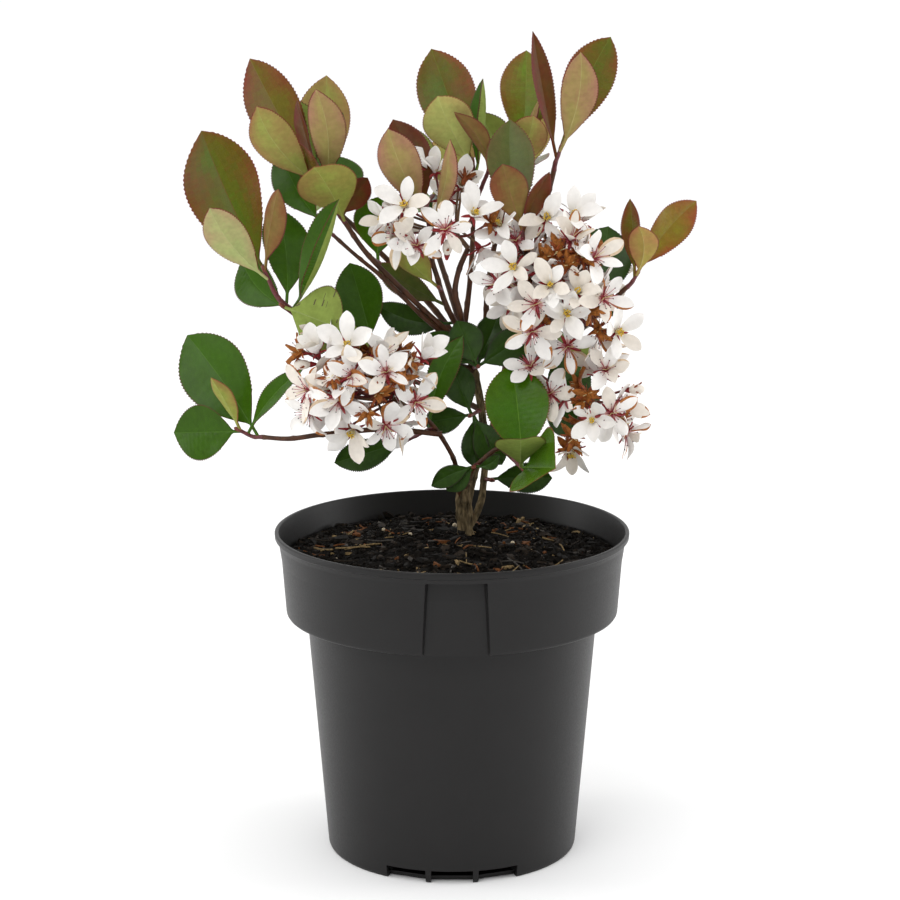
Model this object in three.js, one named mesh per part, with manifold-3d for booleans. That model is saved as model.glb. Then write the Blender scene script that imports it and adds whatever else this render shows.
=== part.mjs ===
// A potted indian hawthorn: a young flowering shrub in a round nursery pot.
// Millimetres, +Z up, -Y is the front. The origin is the middle of the pot's flat underside.
import * as THREE from "three";
import { mergeVertices } from "three/addons/utils/BufferGeometryUtils.js";
import Module from "manifold-3d";

const wasm = await Module();
wasm.setup();

// Driving dimensions of the pot and what fills it
const GAP = 0.3;
const POT = {
  height: 166,
  rim: 90,
  throat: 86.4,
  bandFoot: 84.9,
  bandDrop: 43,
  shoulder: 74,
  foot: 64,
  wall: 2.4,
  lip: 2,
  floor: 2.4,
  facets: 44,
};
const PANEL = { width: 31, drop: 12, deep: 1.2, turn: 1.7, reach: 16 };
const DRAIN = { groups: 3, slots: 3, pitch: 21.2, width: 20.8, height: 6.5, reach: 9 };
const SOIL = { edge: 153, crown: 159.5, flat: 26, facets: 32 };

// Driving dimensions of leaves and flowers
const LEAF = {
  petiole: 0.12,
  stalk: 0.85,
  thick: 1.0,
  rise: 0.9,
  fall: 0.95,
  taper: 1.8,
  fold: 12,
};
const LEAF_STATIONS = [0, 0.12, 0.34, 0.6, 0.85];
const FRONT = new THREE.Vector3(0, -1, 0);
const PETAL = { count: 5, length: 13.5, notch: 6.2, thick: 0.7, cup: 64 };
const FLOWER = { stalk: 0.7 };
const LIMB_SIDES = 5;
const TWIG_SIDES = 5;
const LIMB_STEPS = 2;
const TRUNK_SIDES = 7;
const SPIRAL = THREE.MathUtils.degToRad(137.5);

// How far a solid's faces may move when its smallest ones are dropped, plainest first, and how
// close two corners count as one
const PLAINNESS = [0.05, 0.04, 0.03, 0.02, 0.01, 0.005];
const CORNER = 0.002;

// Trunk: a short cut stub with the leader that rises beside it
const STUB = [
  [6.9, 14, SOIL.crown + GAP, 4.4],
  [6.7, 14, 163.5, 3.4],
  [6.2, 13.6, 172, 4],
  [6, 13, 181, 3.4],
  [7.3, 12.5, 187, 2.3],
];
const LEADER = [
  [7.2, 14.5, 172, 1.9],
  [9.5, 16, 182.4, 1.8],
  [12.8, 17.5, 196.2, 1.8],
  [15.9, 18, 206, 1.8],
  [14.8, 18, 226, 1.8],
  [6.1, 13, 266, 1.8],
];

// Each limb: its radius at foot and tip, and its route from the wood that carries it
function limb(name, thick, thin, points) {
  return { name, thick, thin, points };
}

const LIMBS = [
  limb("stem_right", 1.8, 1.5, [
    [8.5, 15.5, 163], [11.3, 17, 167], [14.9, 20, 175], [16.1, 22, 182.6], [17.2, 24, 196],
    [18.8, 24.3, 206.4], [22.5, 23, 217.5], [29.6, 20, 228.6], [39.5, 14, 245.3], [47, 8, 259],
  ]),
  limb("bough_low_middle", 1.3, 1.1, [
    [5, 13, 178], [2.4, 8, 190], [1.6, 3, 199], [-0.9, -1, 206], [-9.5, -9, 221.2],
    [-16, -16, 228.5],
  ]),
  limb("bough_front", 1.3, 1.1, [
    [6, 12.6, 182], [10.1, 5, 195.5], [14.1, 0, 200.3], [23.3, -8, 209.3], [27, -13.5, 208.5],
    [30, -16, 206],
  ]),
  limb("bough_far_left", 2.0, 1.6, [
    [11, 16, 245], [-11, 11, 250], [-36, 5, 254], [-62, 0, 262], [-78, -4, 277.3],
  ]),
  limb("bough_left", 1.5, 1.2, [
    [5, 12.5, 259.5], [-2.5, 11, 265.8], [-23.7, 8, 286.1], [-43.4, 5, 307], [-53, 4, 321.2],
  ]),
  limb("bough_left_twin", 1.2, 0.9, [
    [4.8, 13, 256], [-14.1, 8.5, 273], [-24.8, 6.5, 283.9], [-36.4, 4.5, 295.4], [-46.3, 2, 304],
    [-58.5, -1, 315.5],
  ]),
  limb("bough_low_left", 1.4, 1.1, [
    [-5, -10, 217], [-33, -10, 219.5], [-66, -9.5, 216.6], [-82, -8, 214.3], [-95, -6, 214.7],
  ]),
  limb("bough_middle", 1.5, 1.2, [
    [5.8, 12.5, 264], [0.4, 11, 272], [-4.5, 8, 283.5], [-7.6, 5, 294.6], [-9.8, 3, 302.4],
    [-10.9, 0, 315.2],
  ]),
  limb("bough_middle_blossom", 1.5, 1.3, [
    [6.5, 13, 262], [4, 7, 276], [1.5, 4, 287], [3.5, 2, 298], [8, 1.5, 309],
  ]),
  limb("bough_top", 1.5, 1.1, [[6.1, 13, 265.5], [8.5, 16, 285], [10, 17.5, 304], [11, 18, 336]]),
  limb("bough_top_right", 1.6, 1.1, [
    [11, 16, 247], [16.5, 22, 264], [18, 24, 285], [23.2, 24, 315], [30.1, 22, 338],
  ]),
  limb("bough_right_inner", 1.5, 1.2, [
    [39, 14, 244.5], [42, 5, 262], [39, -2, 282], [37.5, -8, 299], [35.5, -12, 312],
  ]),
  limb("bough_right", 1.6, 1.3, [
    [33, 18, 235], [36, 22, 259], [39, 24, 290], [44, 21, 316], [47.6, 18, 332], [50.8, 14, 346.5],
  ]),
  limb("bough_far_right", 1.5, 1.2, [
    [38, 14.7, 243], [52, 17, 253], [66, 17, 266], [80, 14, 280], [88, 12, 288],
  ]),
  limb("bough_low_right", 1.4, 1.1, [[26, 21.5, 223], [36, 17, 229], [49, 11, 233], [60, 5, 236]]),
  limb("bough_back_left", 1.7, 1.2, [[10, 16, 250], [-10, 30, 275], [-40, 40, 305], [-58, 44, 322]]),
  limb("bough_back_middle", 1.6, 1.2, [[7, 14, 259], [-1, 30, 283], [-8, 46, 303], [-11, 52, 315]]),
  limb("bough_back_right", 1.7, 1.2, [
    [20.3, 24, 211], [27, 36, 240], [33, 50, 285], [35, 56, 318],
  ]),
  limb("bough_back_low_left", 1.6, 1.2, [[14.5, 18.5, 224], [-5, 32, 231], [-25, 42, 236]]),
  limb("bough_back_low_right", 1.6, 1.2, [
    [18.2, 24.3, 203], [38, 40, 212], [56, 48, 222],
  ]),
  limb("bough_back_blossom", 1.6, 1.2, [[29, 20.5, 227], [42, 36, 255], [52, 46, 274]]),
];

// A leaf: where on its twig it grows (0 foot, 1 tip), its lean to the right from upright and its
// swing to the front in degrees, its length and width, its turn about its own rib (at 0 its upper
// side looks to the front, at 180 its underside), its arch, and how far its rib bows sideways
function leaf(along, lean, swing, length, width, turn = 0, arch = 14, bow = 0) {
  return { along, lean, swing, length, width, turn, arch, bow };
}

// The leafy shoots that show: the limb that carries each, its twig's run from that limb's tip,
// and the leaves round it from the lowest
const SHOOTS = [
  {
    name: "leaves_far_left",
    on: "bough_far_left",
    run: [-14.5, -2, 21],
    leaves: [
      leaf(0.1, 21, 16, 64, 20, -61, 6, 6),
      leaf(0.15, -47, -14, 36, 21, 0, 14, -4),
      leaf(0.25, -5, -30, 57, 24, 20, 14, 2),
      leaf(0.85, -32, 26, 56, 20, 172, 14, 3.8),
      leaf(0.9, -27.5, -22, 86, 39, -8, 8, -1),
      leaf(1.0, 16, 14, 46, 16, 138, 14, 2.5),
    ],
  },
  {
    name: "leaves_left",
    on: "bough_left",
    run: [-13, 3, 21],
    leaves: [
      leaf(0.15, 37, -8, 24, 14, 25, 14, -1),
      leaf(0.2, -4, -30, 35, 25, 10),
      leaf(0.02, -23, 34, 44, 29, 175, 14, -1),
      leaf(0.6, -32, 6, 33, 15, -35, 14, 1),
      leaf(0.8, -2, 20, 58, 18, 176, 14, -3.8),
      leaf(0.95, -32, -20, 76, 27, -6, 8, -1),
      leaf(0.9, -34, 24, 59, 21, 170, 14, 5.5),
      leaf(1.0, -22, -8, 41, 15, -62, 14, 2),
    ],
  },
  {
    name: "leaves_left_lower",
    on: "bough_left_twin",
    run: [-5, 10, 4],
    leaves: [leaf(1.0, -31, -16, 47, 20, 0, 14, -3.4)],
  },
  {
    name: "leaves_low_left",
    on: "bough_low_left",
    run: [-11, -1, 3.5],
    leaves: [
      leaf(0.2, -38.5, -14, 65, 36, -6, 14, 2),
      leaf(0.7, 35, 8, 44, 12, -45, 14, -2.5),
      leaf(0.95, -90, 8, 34, 28, 8),
      leaf(1.0, -20, 14, 34, 11, 145),
    ],
  },
  {
    name: "leaves_middle",
    on: "bough_middle",
    run: [-2, 0, 11],
    leaves: [
      leaf(0.25, 17, 8, 49, 11, 140, 14, -2),
      leaf(0.9, -21.5, 16, 53, 20, 174, 14, 2),
      leaf(1.0, -19, -12, 51, 21, 8, 14, 2),
    ],
  },
  {
    name: "leaves_top",
    on: "bough_top",
    run: [-0.5, 0, 13],
    leaves: [
      leaf(0.5, -1, -6, 50, 13, -60, 14, 6.5),
      leaf(0.9, -25, 24, 48, 25, 176, 14, 1.5),
      leaf(1.0, -21, -22, 66, 29, -4, 8),
    ],
  },
  {
    name: "leaves_top_right",
    on: "bough_top_right",
    run: [5, 0, 15],
    leaves: [
      leaf(0.4, 15, 20, 36, 19, 184, 14, -1),
      leaf(1.0, 19, -4, 30, 6, 120, 4, 2),
      leaf(1.0, 3, -22, 58, 26, 0, 14, 0.5),
    ],
  },
  {
    name: "leaves_right_inner",
    on: "bough_right_inner",
    run: [-1, -2, 8],
    leaves: [
      leaf(0.8, 27, 8, 33, 12, 35, 14, -2.5),
      leaf(0.9, -16, 22, 42, 18, 176, 14, 0.5),
      leaf(1.0, -6, -16, 57, 24, 4, 14, -2.5),
    ],
  },
  {
    name: "leaves_right",
    on: "bough_right",
    run: [3, 0, 10],
    leaves: [
      leaf(0.6, -9, -3, 64, 13, 42, 6, -1.5),
      leaf(0.9, 10.5, 14, 55, 18, 178, 14, -3.8),
      leaf(1.0, 26.5, -17, 66, 25, 6, 14, -2.5),
    ],
  },
  {
    name: "leaves_far_right",
    on: "bough_far_right",
    run: [4.5, 0, 6],
    leaves: [
      leaf(0.8, -8, -6, 40, 12, -40, 14, 1.7),
      leaf(0.9, 0, 21, 31, 15, 182, 14, -3.5),
      leaf(1.0, 43.5, -18, 52, 19, 10, 14, -3),
    ],
  },
  {
    name: "leaves_front",
    on: "bough_front",
    run: [4.7, -6, -3.7],
    leaves: [
      leaf(0.9, -5, 58, 37, 24, 180),
      leaf(1.0, 82, 62, 34, 41, -55, 24),
      leaf(1.0, -6, -14, 53, 32, 0, 14, 1),
    ],
  },
];

// Shoots on the trunk and low limbs: the place of their foot on that wood comes first
const HEART_SHOOTS = [
  {
    name: "leaf_left_front",
    on: "bough_far_left",
    foot: [-73, -2.7, 272],
    run: [-6, -9, 7.5],
    leaves: [leaf(1.0, 112, 30, 36, 31, 180, 20)],
  },
  {
    name: "leaf_top_side",
    on: "bough_top",
    foot: [11, 17.9, 328],
    run: [7, -12, 19],
    leaves: [leaf(1.0, -26, 12, 36, 11, 150, 14, -4)],
  },
  {
    name: "leaf_middle_low",
    on: "bough_middle",
    foot: [-5.4, 7.1, 287],
    run: [-1, -5, 2],
    leaves: [leaf(1.0, -36, 8, 33, 16, 160, 14, 3)],
  },
  {
    name: "leaves_middle_left",
    on: "trunk",
    foot: [6.3, 13.1, 263],
    run: [-9, 9, 14],
    leaves: [leaf(0.5, -70, -4, 40, 12, 0, 14, -4), leaf(1.0, -60, -4, 42, 14, 0, 14, -1)],
  },
  {
    name: "leaf_left_behind",
    on: "bough_left",
    foot: [-40, 5.5, 303.3],
    run: [3, 8, -3],
    leaves: [leaf(1.0, 4, -16, 35, 25, 0, 14, -1.5)],
  },
  {
    name: "leaf_behind_left",
    on: "bough_far_left",
    foot: [-36, 5, 254],
    run: [-4, 6, 4],
    leaves: [leaf(1.0, -16, -8, 44, 24, 0, 14, 0.5)],
  },
  {
    name: "leaves_heart_upper",
    on: "trunk",
    foot: [11, 16, 246],
    run: [2, -13, 3],
    leaves: [
      leaf(0.7, 24, -10, 30, 16),
      leaf(0.9, -56, 4, 30, 15),
      leaf(0.8, 58, 0, 32, 18),
      leaf(1.0, -24, 10, 26, 18),
    ],
  },
  {
    name: "leaves_heart_left",
    on: "trunk",
    foot: [15, 18.3, 224],
    run: [-5, -9, -1],
    leaves: [
      leaf(0.9, 150, 10, 30, 17),
      leaf(0.8, 178, 10, 28, 14),
      leaf(0.9, -100, 4, 26, 14),
      leaf(1.0, -22, 8, 30, 17),
    ],
  },
  {
    name: "leaves_under",
    on: "bough_front",
    foot: [13.3, 1, 199.3],
    run: [-2, -6, 0],
    leaves: [
      leaf(1.0, -113, 16, 24, 10.5, 0, 14, 1.5),
      leaf(0.9, -131, 10, 19, 10),
      leaf(0.9, 64, 6, 14, 7, 0, 14, 2),
    ],
  },
  {
    name: "leaves_low_front",
    on: "bough_low_middle",
    foot: [-9, -8.5, 220.3],
    run: [-13, 8, -8],
    leaves: [leaf(0.2, 20, -2, 50, 14, 0, 14, -4), leaf(1.0, -110, -4, 41, 16)],
  },
  {
    name: "leaves_right_back",
    on: "bough_far_right",
    foot: [66, 17, 266],
    run: [8, 9, 8],
    leaves: [
      leaf(0.7, 61, 16, 19, 9),
      leaf(0.8, 11, -22, 49, 29),
      leaf(1.0, -30, -50, 36, 22),
    ],
  },
  {
    name: "leaves_right_low",
    on: "bough_low_right",
    foot: [42, 14, 231.4],
    run: [3, 8, -2],
    leaves: [
      leaf(0.8, 60, -14, 32, 26),
      leaf(1.0, 100, -10, 34, 19),
      leaf(1.0, 132, -6, 30, 17),
    ],
  },
  {
    name: "leaf_foot_right",
    on: "stem_right",
    foot: [16.4, 22.6, 187],
    run: [3, -3, 0],
    leaves: [leaf(0.8, 89, 6, 33, 16, 0, 14, -1)],
  },
];

// Shoots that a rule grows to fill the back: their twig's run, how many leaves, and the
// middle and half-sizes of the space that they keep to
const BACK_SHOOTS = [
  {
    name: "leaves_back_left",
    on: "bough_back_left",
    run: [-8, 12, 14],
    count: 9,
    seed: 11,
    middle: [-78, 62, 350],
    reach: [22, 50, 50],
  },
  {
    name: "leaves_back_middle",
    on: "bough_back_middle",
    run: [2, 16, 14],
    count: 10,
    seed: 12,
    middle: [-8, 76, 338],
    reach: [38, 46, 52],
  },
  {
    name: "leaves_back_right",
    on: "bough_back_right",
    run: [2, 12, 20],
    count: 10,
    seed: 13,
    middle: [38, 74, 350],
    reach: [30, 46, 48],
  },
  {
    name: "leaves_back_low_left",
    on: "bough_back_low_left",
    run: [-14, 16, 4],
    count: 9,
    seed: 14,
    middle: [-48, 62, 246],
    reach: [44, 46, 38],
  },
  {
    name: "leaves_back_low_right",
    on: "bough_back_low_right",
    run: [12, 14, 2],
    count: 9,
    seed: 15,
    middle: [66, 68, 230],
    reach: [36, 44, 34],
  },
];

// Heads of flowers: the middle and half-sizes of each, the flowers that show on its front by
// their place across and up from the middle, and how many more a rule sets round the back
const HEADS = [
  {
    name: "blossom_left",
    on: "bough_low_middle",
    middle: [-43, -22, 246],
    half: [34, 24, 30],
    seed: 21,
    rest: 5,
    front: [
      [-9, 23], [-6, 8], [13, 9], [34, 15], [26, 13], [29, -10], [-14, -7], [-32, -4], [-36, 18],
      [-28, 25], [-32, 11], [2, -13], [-7, -26], [-31, -17], [12, -23],
    ],
  },
  {
    name: "blossom_middle",
    on: "bough_middle_blossom",
    middle: [-5, -2, 326],
    half: [33, 22, 26],
    seed: 22,
    rest: 4,
    front: [
      [-21, 7], [-32, -2], [-14, -16], [2, -6], [18, 2], [3, -20], [-7, 31], [10, 18], [27, -3],
      [-24, -10],
    ],
  },
  {
    name: "blossom_right",
    on: "stem_right",
    middle: [53, -6, 292],
    half: [40, 26, 36],
    seed: 23,
    rest: 5,
    front: [
      [-8, 38], [-25, 26], [-14, -8], [-35, 2], [3, -13], [9, -1], [-5, 19], [4, 14], [13, 18],
      [19, 18], [6, 28], [7, 40], [24, -5], [33, -27], [-16, -25], [5, -35], [22, -24], [-34, 35],
      [-26, 12], [-6, 3],
    ],
  },
  {
    name: "blossom_low_right",
    on: "bough_low_right",
    middle: [72, -4, 232],
    half: [24, 18, 27],
    seed: 24,
    rest: 3,
    front: [
      [5, 21], [8, -3], [-3, -6], [-27, 6], [-38, 22], [-6, 8], [20, 9], [-16, -26], [-14, -27],
    ],
  },
  {
    name: "blossom_back",
    on: "bough_back_blossom",
    middle: [58, 62, 290],
    half: [30, 24, 30],
    seed: 25,
    rest: 11,
    front: [],
  },
];

const COLOURS = {
  pot: 0x3e3c3c,
  soil: 0x241c18,
  bark: 0x6b5a48,
  twig: 0x4a1f22,
  young: 0x7d7a3c,
  old: 0x2f4a20,
  petal: 0xf4f1f0,
};

// Vectors and seeded numbers
const vec = (a) => new THREE.Vector3(a[0], a[1], a[2]);
const turned = (v, axis, angle) => v.clone().applyAxisAngle(axis, angle);
const radians = THREE.MathUtils.degToRad;

function seeded(seed) {
  let state = seed >>> 0;
  return () => {
    state = (state + 0x6d2b79f5) >>> 0;
    let t = state;
    t = Math.imul(t ^ (t >>> 15), t | 1);
    t ^= t + Math.imul(t ^ (t >>> 7), t | 61);
    return ((t ^ (t >>> 14)) >>> 0) / 4294967296;
  };
}

// A closed solid from rings of points, each ring as long as the others or a single point
function skin(rings) {
  const points = rings.flat();
  const starts = [];
  rings.reduce((sum, ring) => (starts.push(sum), sum + ring.length), 0);
  const faces = [];
  const face = (a, b, c) => faces.push(a, b, c);
  const cap = (row, flip) => {
    for (let i = 1; i + 1 < rings[row].length; i += 1) {
      const [b, c] = flip ? [i + 1, i] : [i, i + 1];
      face(starts[row], starts[row] + b, starts[row] + c);
    }
  };
  for (let row = 0; row + 1 < rings.length; row += 1) {
    const [near, far] = [rings[row].length, rings[row + 1].length];
    const sides = Math.max(near, far);
    for (let i = 0; i < sides; i += 1) {
      const j = (i + 1) % sides;
      const [a, b] = [starts[row] + (i % near), starts[row] + (j % near)];
      const [c, d] = [starts[row + 1] + (i % far), starts[row + 1] + (j % far)];
      if (near > 1) face(a, b, d);
      if (far > 1) face(a, d, c);
    }
  }
  cap(0, true);
  cap(rings.length - 1, false);
  return closed(points, faces);
}

// A solid from points and faces, turned to face out
function closed(points, faces) {
  let volume = 0;
  for (let i = 0; i < faces.length; i += 3) {
    const [a, b, c] = [points[faces[i]], points[faces[i + 1]], points[faces[i + 2]]];
    volume += a.dot(b.clone().cross(c));
  }
  const triVerts = new Uint32Array(faces);
  if (volume < 0) {
    for (let i = 0; i < triVerts.length; i += 3) {
      [triVerts[i + 1], triVerts[i + 2]] = [triVerts[i + 2], triVerts[i + 1]];
    }
  }
  const vertProperties = new Float32Array(points.flatMap((p) => [p.x, p.y, p.z]));
  return new wasm.Manifold(new wasm.Mesh({ numProp: 3, vertProperties, triVerts }));
}

function solidOf(geometry) {
  const plain = geometry.clone();
  plain.deleteAttribute("normal");
  plain.deleteAttribute("uv");
  const merged = mergeVertices(plain, 1e-4);
  return new wasm.Manifold(
    new wasm.Mesh({
      numProp: 3,
      vertProperties: merged.attributes.position.array,
      triVerts: new Uint32Array(merged.index.array),
    }),
  );
}

// The largest piece of a solid, with no scraps and no sealed hollows
function largest(solid) {
  const pieces = solid.decompose().sort((a, b) => b.volume() - a.volume());
  return pieces[0];
}

// A solid as a geometry for a mesh
function geometryOf(solid) {
  const { vertProperties, triVerts } = solid.getMesh();
  const geometry = new THREE.BufferGeometry();
  geometry.setAttribute("position", new THREE.BufferAttribute(vertProperties, 3));
  geometry.setIndex(new THREE.BufferAttribute(triVerts, 1));
  return geometry;
}

// The plainest form of a solid in which no two of its corners fall together
function plainest(solid) {
  const forms = PLAINNESS.map((tolerance) => solid.asOriginal().simplify(tolerance));
  const cornersStayApart = (form) =>
    mergeVertices(geometryOf(form), CORNER).attributes.position.count === form.numVert();
  return forms.find(cornersStayApart) ?? solid;
}

// Booleans between solids that may lie far apart
function boxesMeet(a, b, margin = 0) {
  const [p, q] = [a.boundingBox(), b.boundingBox()];
  return [0, 1, 2].every((i) => p.min[i] - margin <= q.max[i] && q.min[i] - margin <= p.max[i]);
}

function touches(solid, others) {
  return others.some((other) => boxesMeet(solid, other) && !solid.intersect(other).isEmpty());
}

function without(solid, others) {
  return others
    .filter((other) => boxesMeet(solid, other))
    .reduce((rest, other) => rest.subtract(other), solid);
}

function fused(solids) {
  return solids.reduce((sum, next) => sum.add(next));
}

// A limb's route with its radius, as a smooth curve through its points
class Route {
  constructor(points, radii) {
    this.curve = new THREE.CatmullRomCurve3(points, false, "centripetal");
    this.radii = radii;
  }

  at(t) {
    return this.curve.getPoint(t);
  }

  towards(t) {
    return this.curve.getTangent(t);
  }

  radius(t) {
    const place = t * (this.radii.length - 1);
    const low = Math.min(Math.floor(place), this.radii.length - 2);
    return THREE.MathUtils.lerp(this.radii[low], this.radii[low + 1], place - low);
  }

  // A tapering tube; grown by a margin it is the room that the limb keeps round itself
  tube(stations, sides, margin = 0) {
    const rings = [];
    let side = new THREE.Vector3(1, 0, 0);
    for (let i = 0; i <= stations; i += 1) {
      const t = i / stations;
      const along = this.towards(t);
      side = side.clone().addScaledVector(along, -side.dot(along)).normalize();
      const end = i === 0 ? -margin : i === stations ? margin : 0;
      const middle = this.at(t).addScaledVector(along, end);
      const radius = this.radius(t) + margin;
      rings.push(
        Array.from({ length: sides }, (_, k) =>
          middle.clone().addScaledVector(turned(side, along, (2 * Math.PI * k) / sides), radius),
        ),
      );
    }
    return skin(rings);
  }
}

// A leaf as a thin arched blade on its stalk
function leafSolid(foot, along, face, size) {
  const arch = radians(size.arch);
  const across = along.clone().cross(face).normalize();
  const top = across.clone().cross(along).normalize();
  const bend = (s) => {
    const turn = arch * s;
    const out = size.length * (arch ? Math.sin(turn) / arch : s);
    const down = size.length * (arch ? (1 - Math.cos(turn)) / arch : 0);
    const middle = foot.clone().addScaledVector(along, out).addScaledVector(top, -down);
    return {
      middle: middle.addScaledVector(across, 4 * size.bow * s * (1 - s)),
      up: top.clone().multiplyScalar(Math.cos(turn)).addScaledVector(along, Math.sin(turn)),
    };
  };
  const rings = LEAF_STATIONS.map((s) => {
    const { middle, up } = bend(s);
    const half = Math.max(LEAF.stalk, leafHalfWidth(s, size.width));
    const lift = half > LEAF.stalk ? half * Math.sin(radians(LEAF.fold)) : 0;
    const flat = half > LEAF.stalk ? half * Math.cos(radians(LEAF.fold)) : half;
    const thick = half > LEAF.stalk ? LEAF.thick / 2 : LEAF.stalk;
    return [
      middle.clone().addScaledVector(across, -flat).addScaledVector(up, lift),
      middle.clone().addScaledVector(up, thick),
      middle.clone().addScaledVector(across, flat).addScaledVector(up, lift),
      middle.clone().addScaledVector(up, -thick),
    ];
  });
  rings.push([bend(1).middle]);
  return skin(rings);
}

function leafHalfWidth(s, width) {
  const u = (s - LEAF.petiole) / (1 - LEAF.petiole);
  if (u <= 0) return 0;
  const widest = (LEAF.rise / (LEAF.rise + LEAF.taper * LEAF.fall)) ** (1 / LEAF.taper);
  const shape = (at) => at ** LEAF.rise * (1 - at ** LEAF.taper) ** LEAF.fall;
  return ((width / 2) * shape(u)) / shape(widest);
}

// A leaf's direction from its lean and swing, and the way its upper face looks
function leafAim(size) {
  const [lean, swing] = [radians(size.lean), radians(size.swing)];
  return new THREE.Vector3(
    Math.sin(lean) * Math.cos(swing),
    -Math.sin(swing),
    Math.cos(lean) * Math.cos(swing),
  );
}

function leafFace(along, towards, turn) {
  const face = towards.clone().addScaledVector(along, -towards.dot(along)).normalize();
  return turned(face, along, radians(turn));
}

// A flower: one cupped star of five petals on a stalk back to its head's stem
function flowerSolid(place, out, foot, spin, cup) {
  const side = new THREE.Vector3(0.31, 0.17, 0.93).cross(out).normalize();
  const spot = (angle, reach) =>
    place
      .clone()
      .addScaledVector(turned(side, out, spin + angle), reach * Math.sin(cup))
      .addScaledVector(out, reach * Math.cos(cup));
  const step = (2 * Math.PI) / PETAL.count;
  const rim = Array.from({ length: PETAL.count }, (_, k) => [
    spot((k - 0.5) * step, PETAL.notch),
    spot(k * step, PETAL.length),
  ]).flat();
  const tip = place.clone().addScaledVector(out, PETAL.thick);
  const back = place.clone().addScaledVector(out, -2 * PETAL.thick);
  const stalk = new Route([foot, place], [FLOWER.stalk, FLOWER.stalk]).tube(1, 3);
  return skin([[back], rim, [tip]]).add(stalk);
}

// The pot: a tapered shell with a deep straight-sided band round its top
function potSolid() {
  const { height, rim, throat, bandFoot, bandDrop, shoulder, foot, wall, lip, floor } = POT;
  const bandZ = height - bandDrop;
  const outer = [
    [0, 0],
    [foot - 0.8, 0],
    [foot, 1.2],
    [shoulder, bandZ],
    [bandFoot - 1.8, bandZ],
    [bandFoot, bandZ + 2.4],
    [throat, height - 15],
    [rim - 2, height - 6],
    [rim, height],
  ];
  const inner = [
    [rim - lip, height],
    [throat - wall + 0.6, height - 13],
    [bandFoot - wall, bandZ + wall],
    [shoulder - wall, bandZ + wall],
    [foot - wall, floor],
    [0, floor],
  ];
  const profile = [...outer, ...inner].map(([r, z]) => new THREE.Vector2(r, z));
  const shell = solidOf(
    new THREE.LatheGeometry([...profile, profile[0].clone()], POT.facets).rotateX(Math.PI / 2),
  );
  const cuts = [panelCut(bandZ), ...drainCuts()];
  return cuts.reduce((rest, cut) => rest.subtract(cut), shell);
}

// The shallow recess in the front of the band, open at its foot; its floor follows the band
function panelCut(bandZ) {
  const below = 5;
  const tall = POT.height - PANEL.drop - bandZ + below;
  const block = new THREE.BoxGeometry(PANEL.width, PANEL.reach, tall);
  block.translate(0, -POT.throat, bandZ - below + tall / 2);
  block.rotateZ(radians(PANEL.turn));
  const core = new THREE.CylinderGeometry(
    POT.throat - PANEL.deep,
    POT.bandFoot - PANEL.deep,
    tall + 2,
    POT.facets,
  );
  core.rotateX(Math.PI / 2).translate(0, 0, bandZ - below + tall / 2);
  return solidOf(block).subtract(solidOf(core));
}

// The drain slots at the foot, in groups: one to the front and the others a third turn from it
function drainCuts() {
  return Array.from({ length: DRAIN.groups * DRAIN.slots }, (_, k) => {
    const place = (k % DRAIN.slots) - (DRAIN.slots - 1) / 2;
    const group = Math.floor(k / DRAIN.slots) / DRAIN.groups;
    const block = new THREE.BoxGeometry(DRAIN.width, DRAIN.reach * 2, DRAIN.height * 2);
    block.translate(0, -POT.foot, 0);
    block.rotateZ(2 * Math.PI * group + radians(DRAIN.pitch * place));
    return solidOf(block);
  });
}

// The potting mix: it fills the pot from the floor to a low mound round the trunk
function soilSolid() {
  const { height, throat, bandFoot, bandDrop, shoulder, foot, wall, floor } = POT;
  const bandZ = height - bandDrop;
  const room = wall + GAP + 0.5;
  const profile = [
    [0, floor + GAP],
    [foot - room, floor + GAP],
    [shoulder - room, bandZ + wall + GAP],
    [bandFoot - room, bandZ + wall + GAP],
    [THREE.MathUtils.lerp(bandFoot, throat, 0.9) - room, SOIL.edge],
    [SOIL.flat, SOIL.crown],
    [0, SOIL.crown],
  ].map(([r, z]) => new THREE.Vector2(r, z));
  return solidOf(
    new THREE.LatheGeometry([...profile, profile[0].clone()], SOIL.facets).rotateX(Math.PI / 2),
  );
}

// Everything is gathered here as it is made, so that what comes later keeps clear of it
const made = [];
const routes = {};
const rooms = {};
const plant = new THREE.Group();

function addNode(name, solid, colour, roughness) {
  const whole = plainest(largest(solid));
  const geometry = geometryOf(whole);
  geometry.computeVertexNormals();
  const material = new THREE.MeshStandardMaterial({ color: colour, roughness, metalness: 0 });
  const piece = new THREE.Mesh(geometry, material);
  piece.name = name;
  plant.add(piece);
  made.push({ name, solid: whole });
}

function routeThrough(stations) {
  return new Route(
    stations.map((s) => vec(s)),
    stations.map((s) => s[3]),
  );
}

function addTrunk() {
  const [stub, leader] = [routeThrough(STUB), routeThrough(LEADER)];
  routes.trunk = leader;
  rooms.trunk = [stub.tube(4, TRUNK_SIDES, GAP), leader.tube(9, TRUNK_SIDES, GAP)];
  addNode("trunk", stub.tube(4, TRUNK_SIDES).add(leader.tube(9, TRUNK_SIDES)), COLOURS.bark, 0.85);
}

function addLimb({ name, thick, thin, points }) {
  const route = new Route(points.map(vec), [thick, thin]);
  const stations = LIMB_STEPS * (points.length - 1);
  const earlier = Object.values(rooms).flat();
  routes[name] = route;
  rooms[name] = [route.tube(stations, LIMB_SIDES, GAP)];
  const limb = without(route.tube(stations, LIMB_SIDES), earlier);
  const colour = name.startsWith("stem") ? COLOURS.bark : COLOURS.twig;
  addNode(name, limb, colour, 0.7);
}

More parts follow.
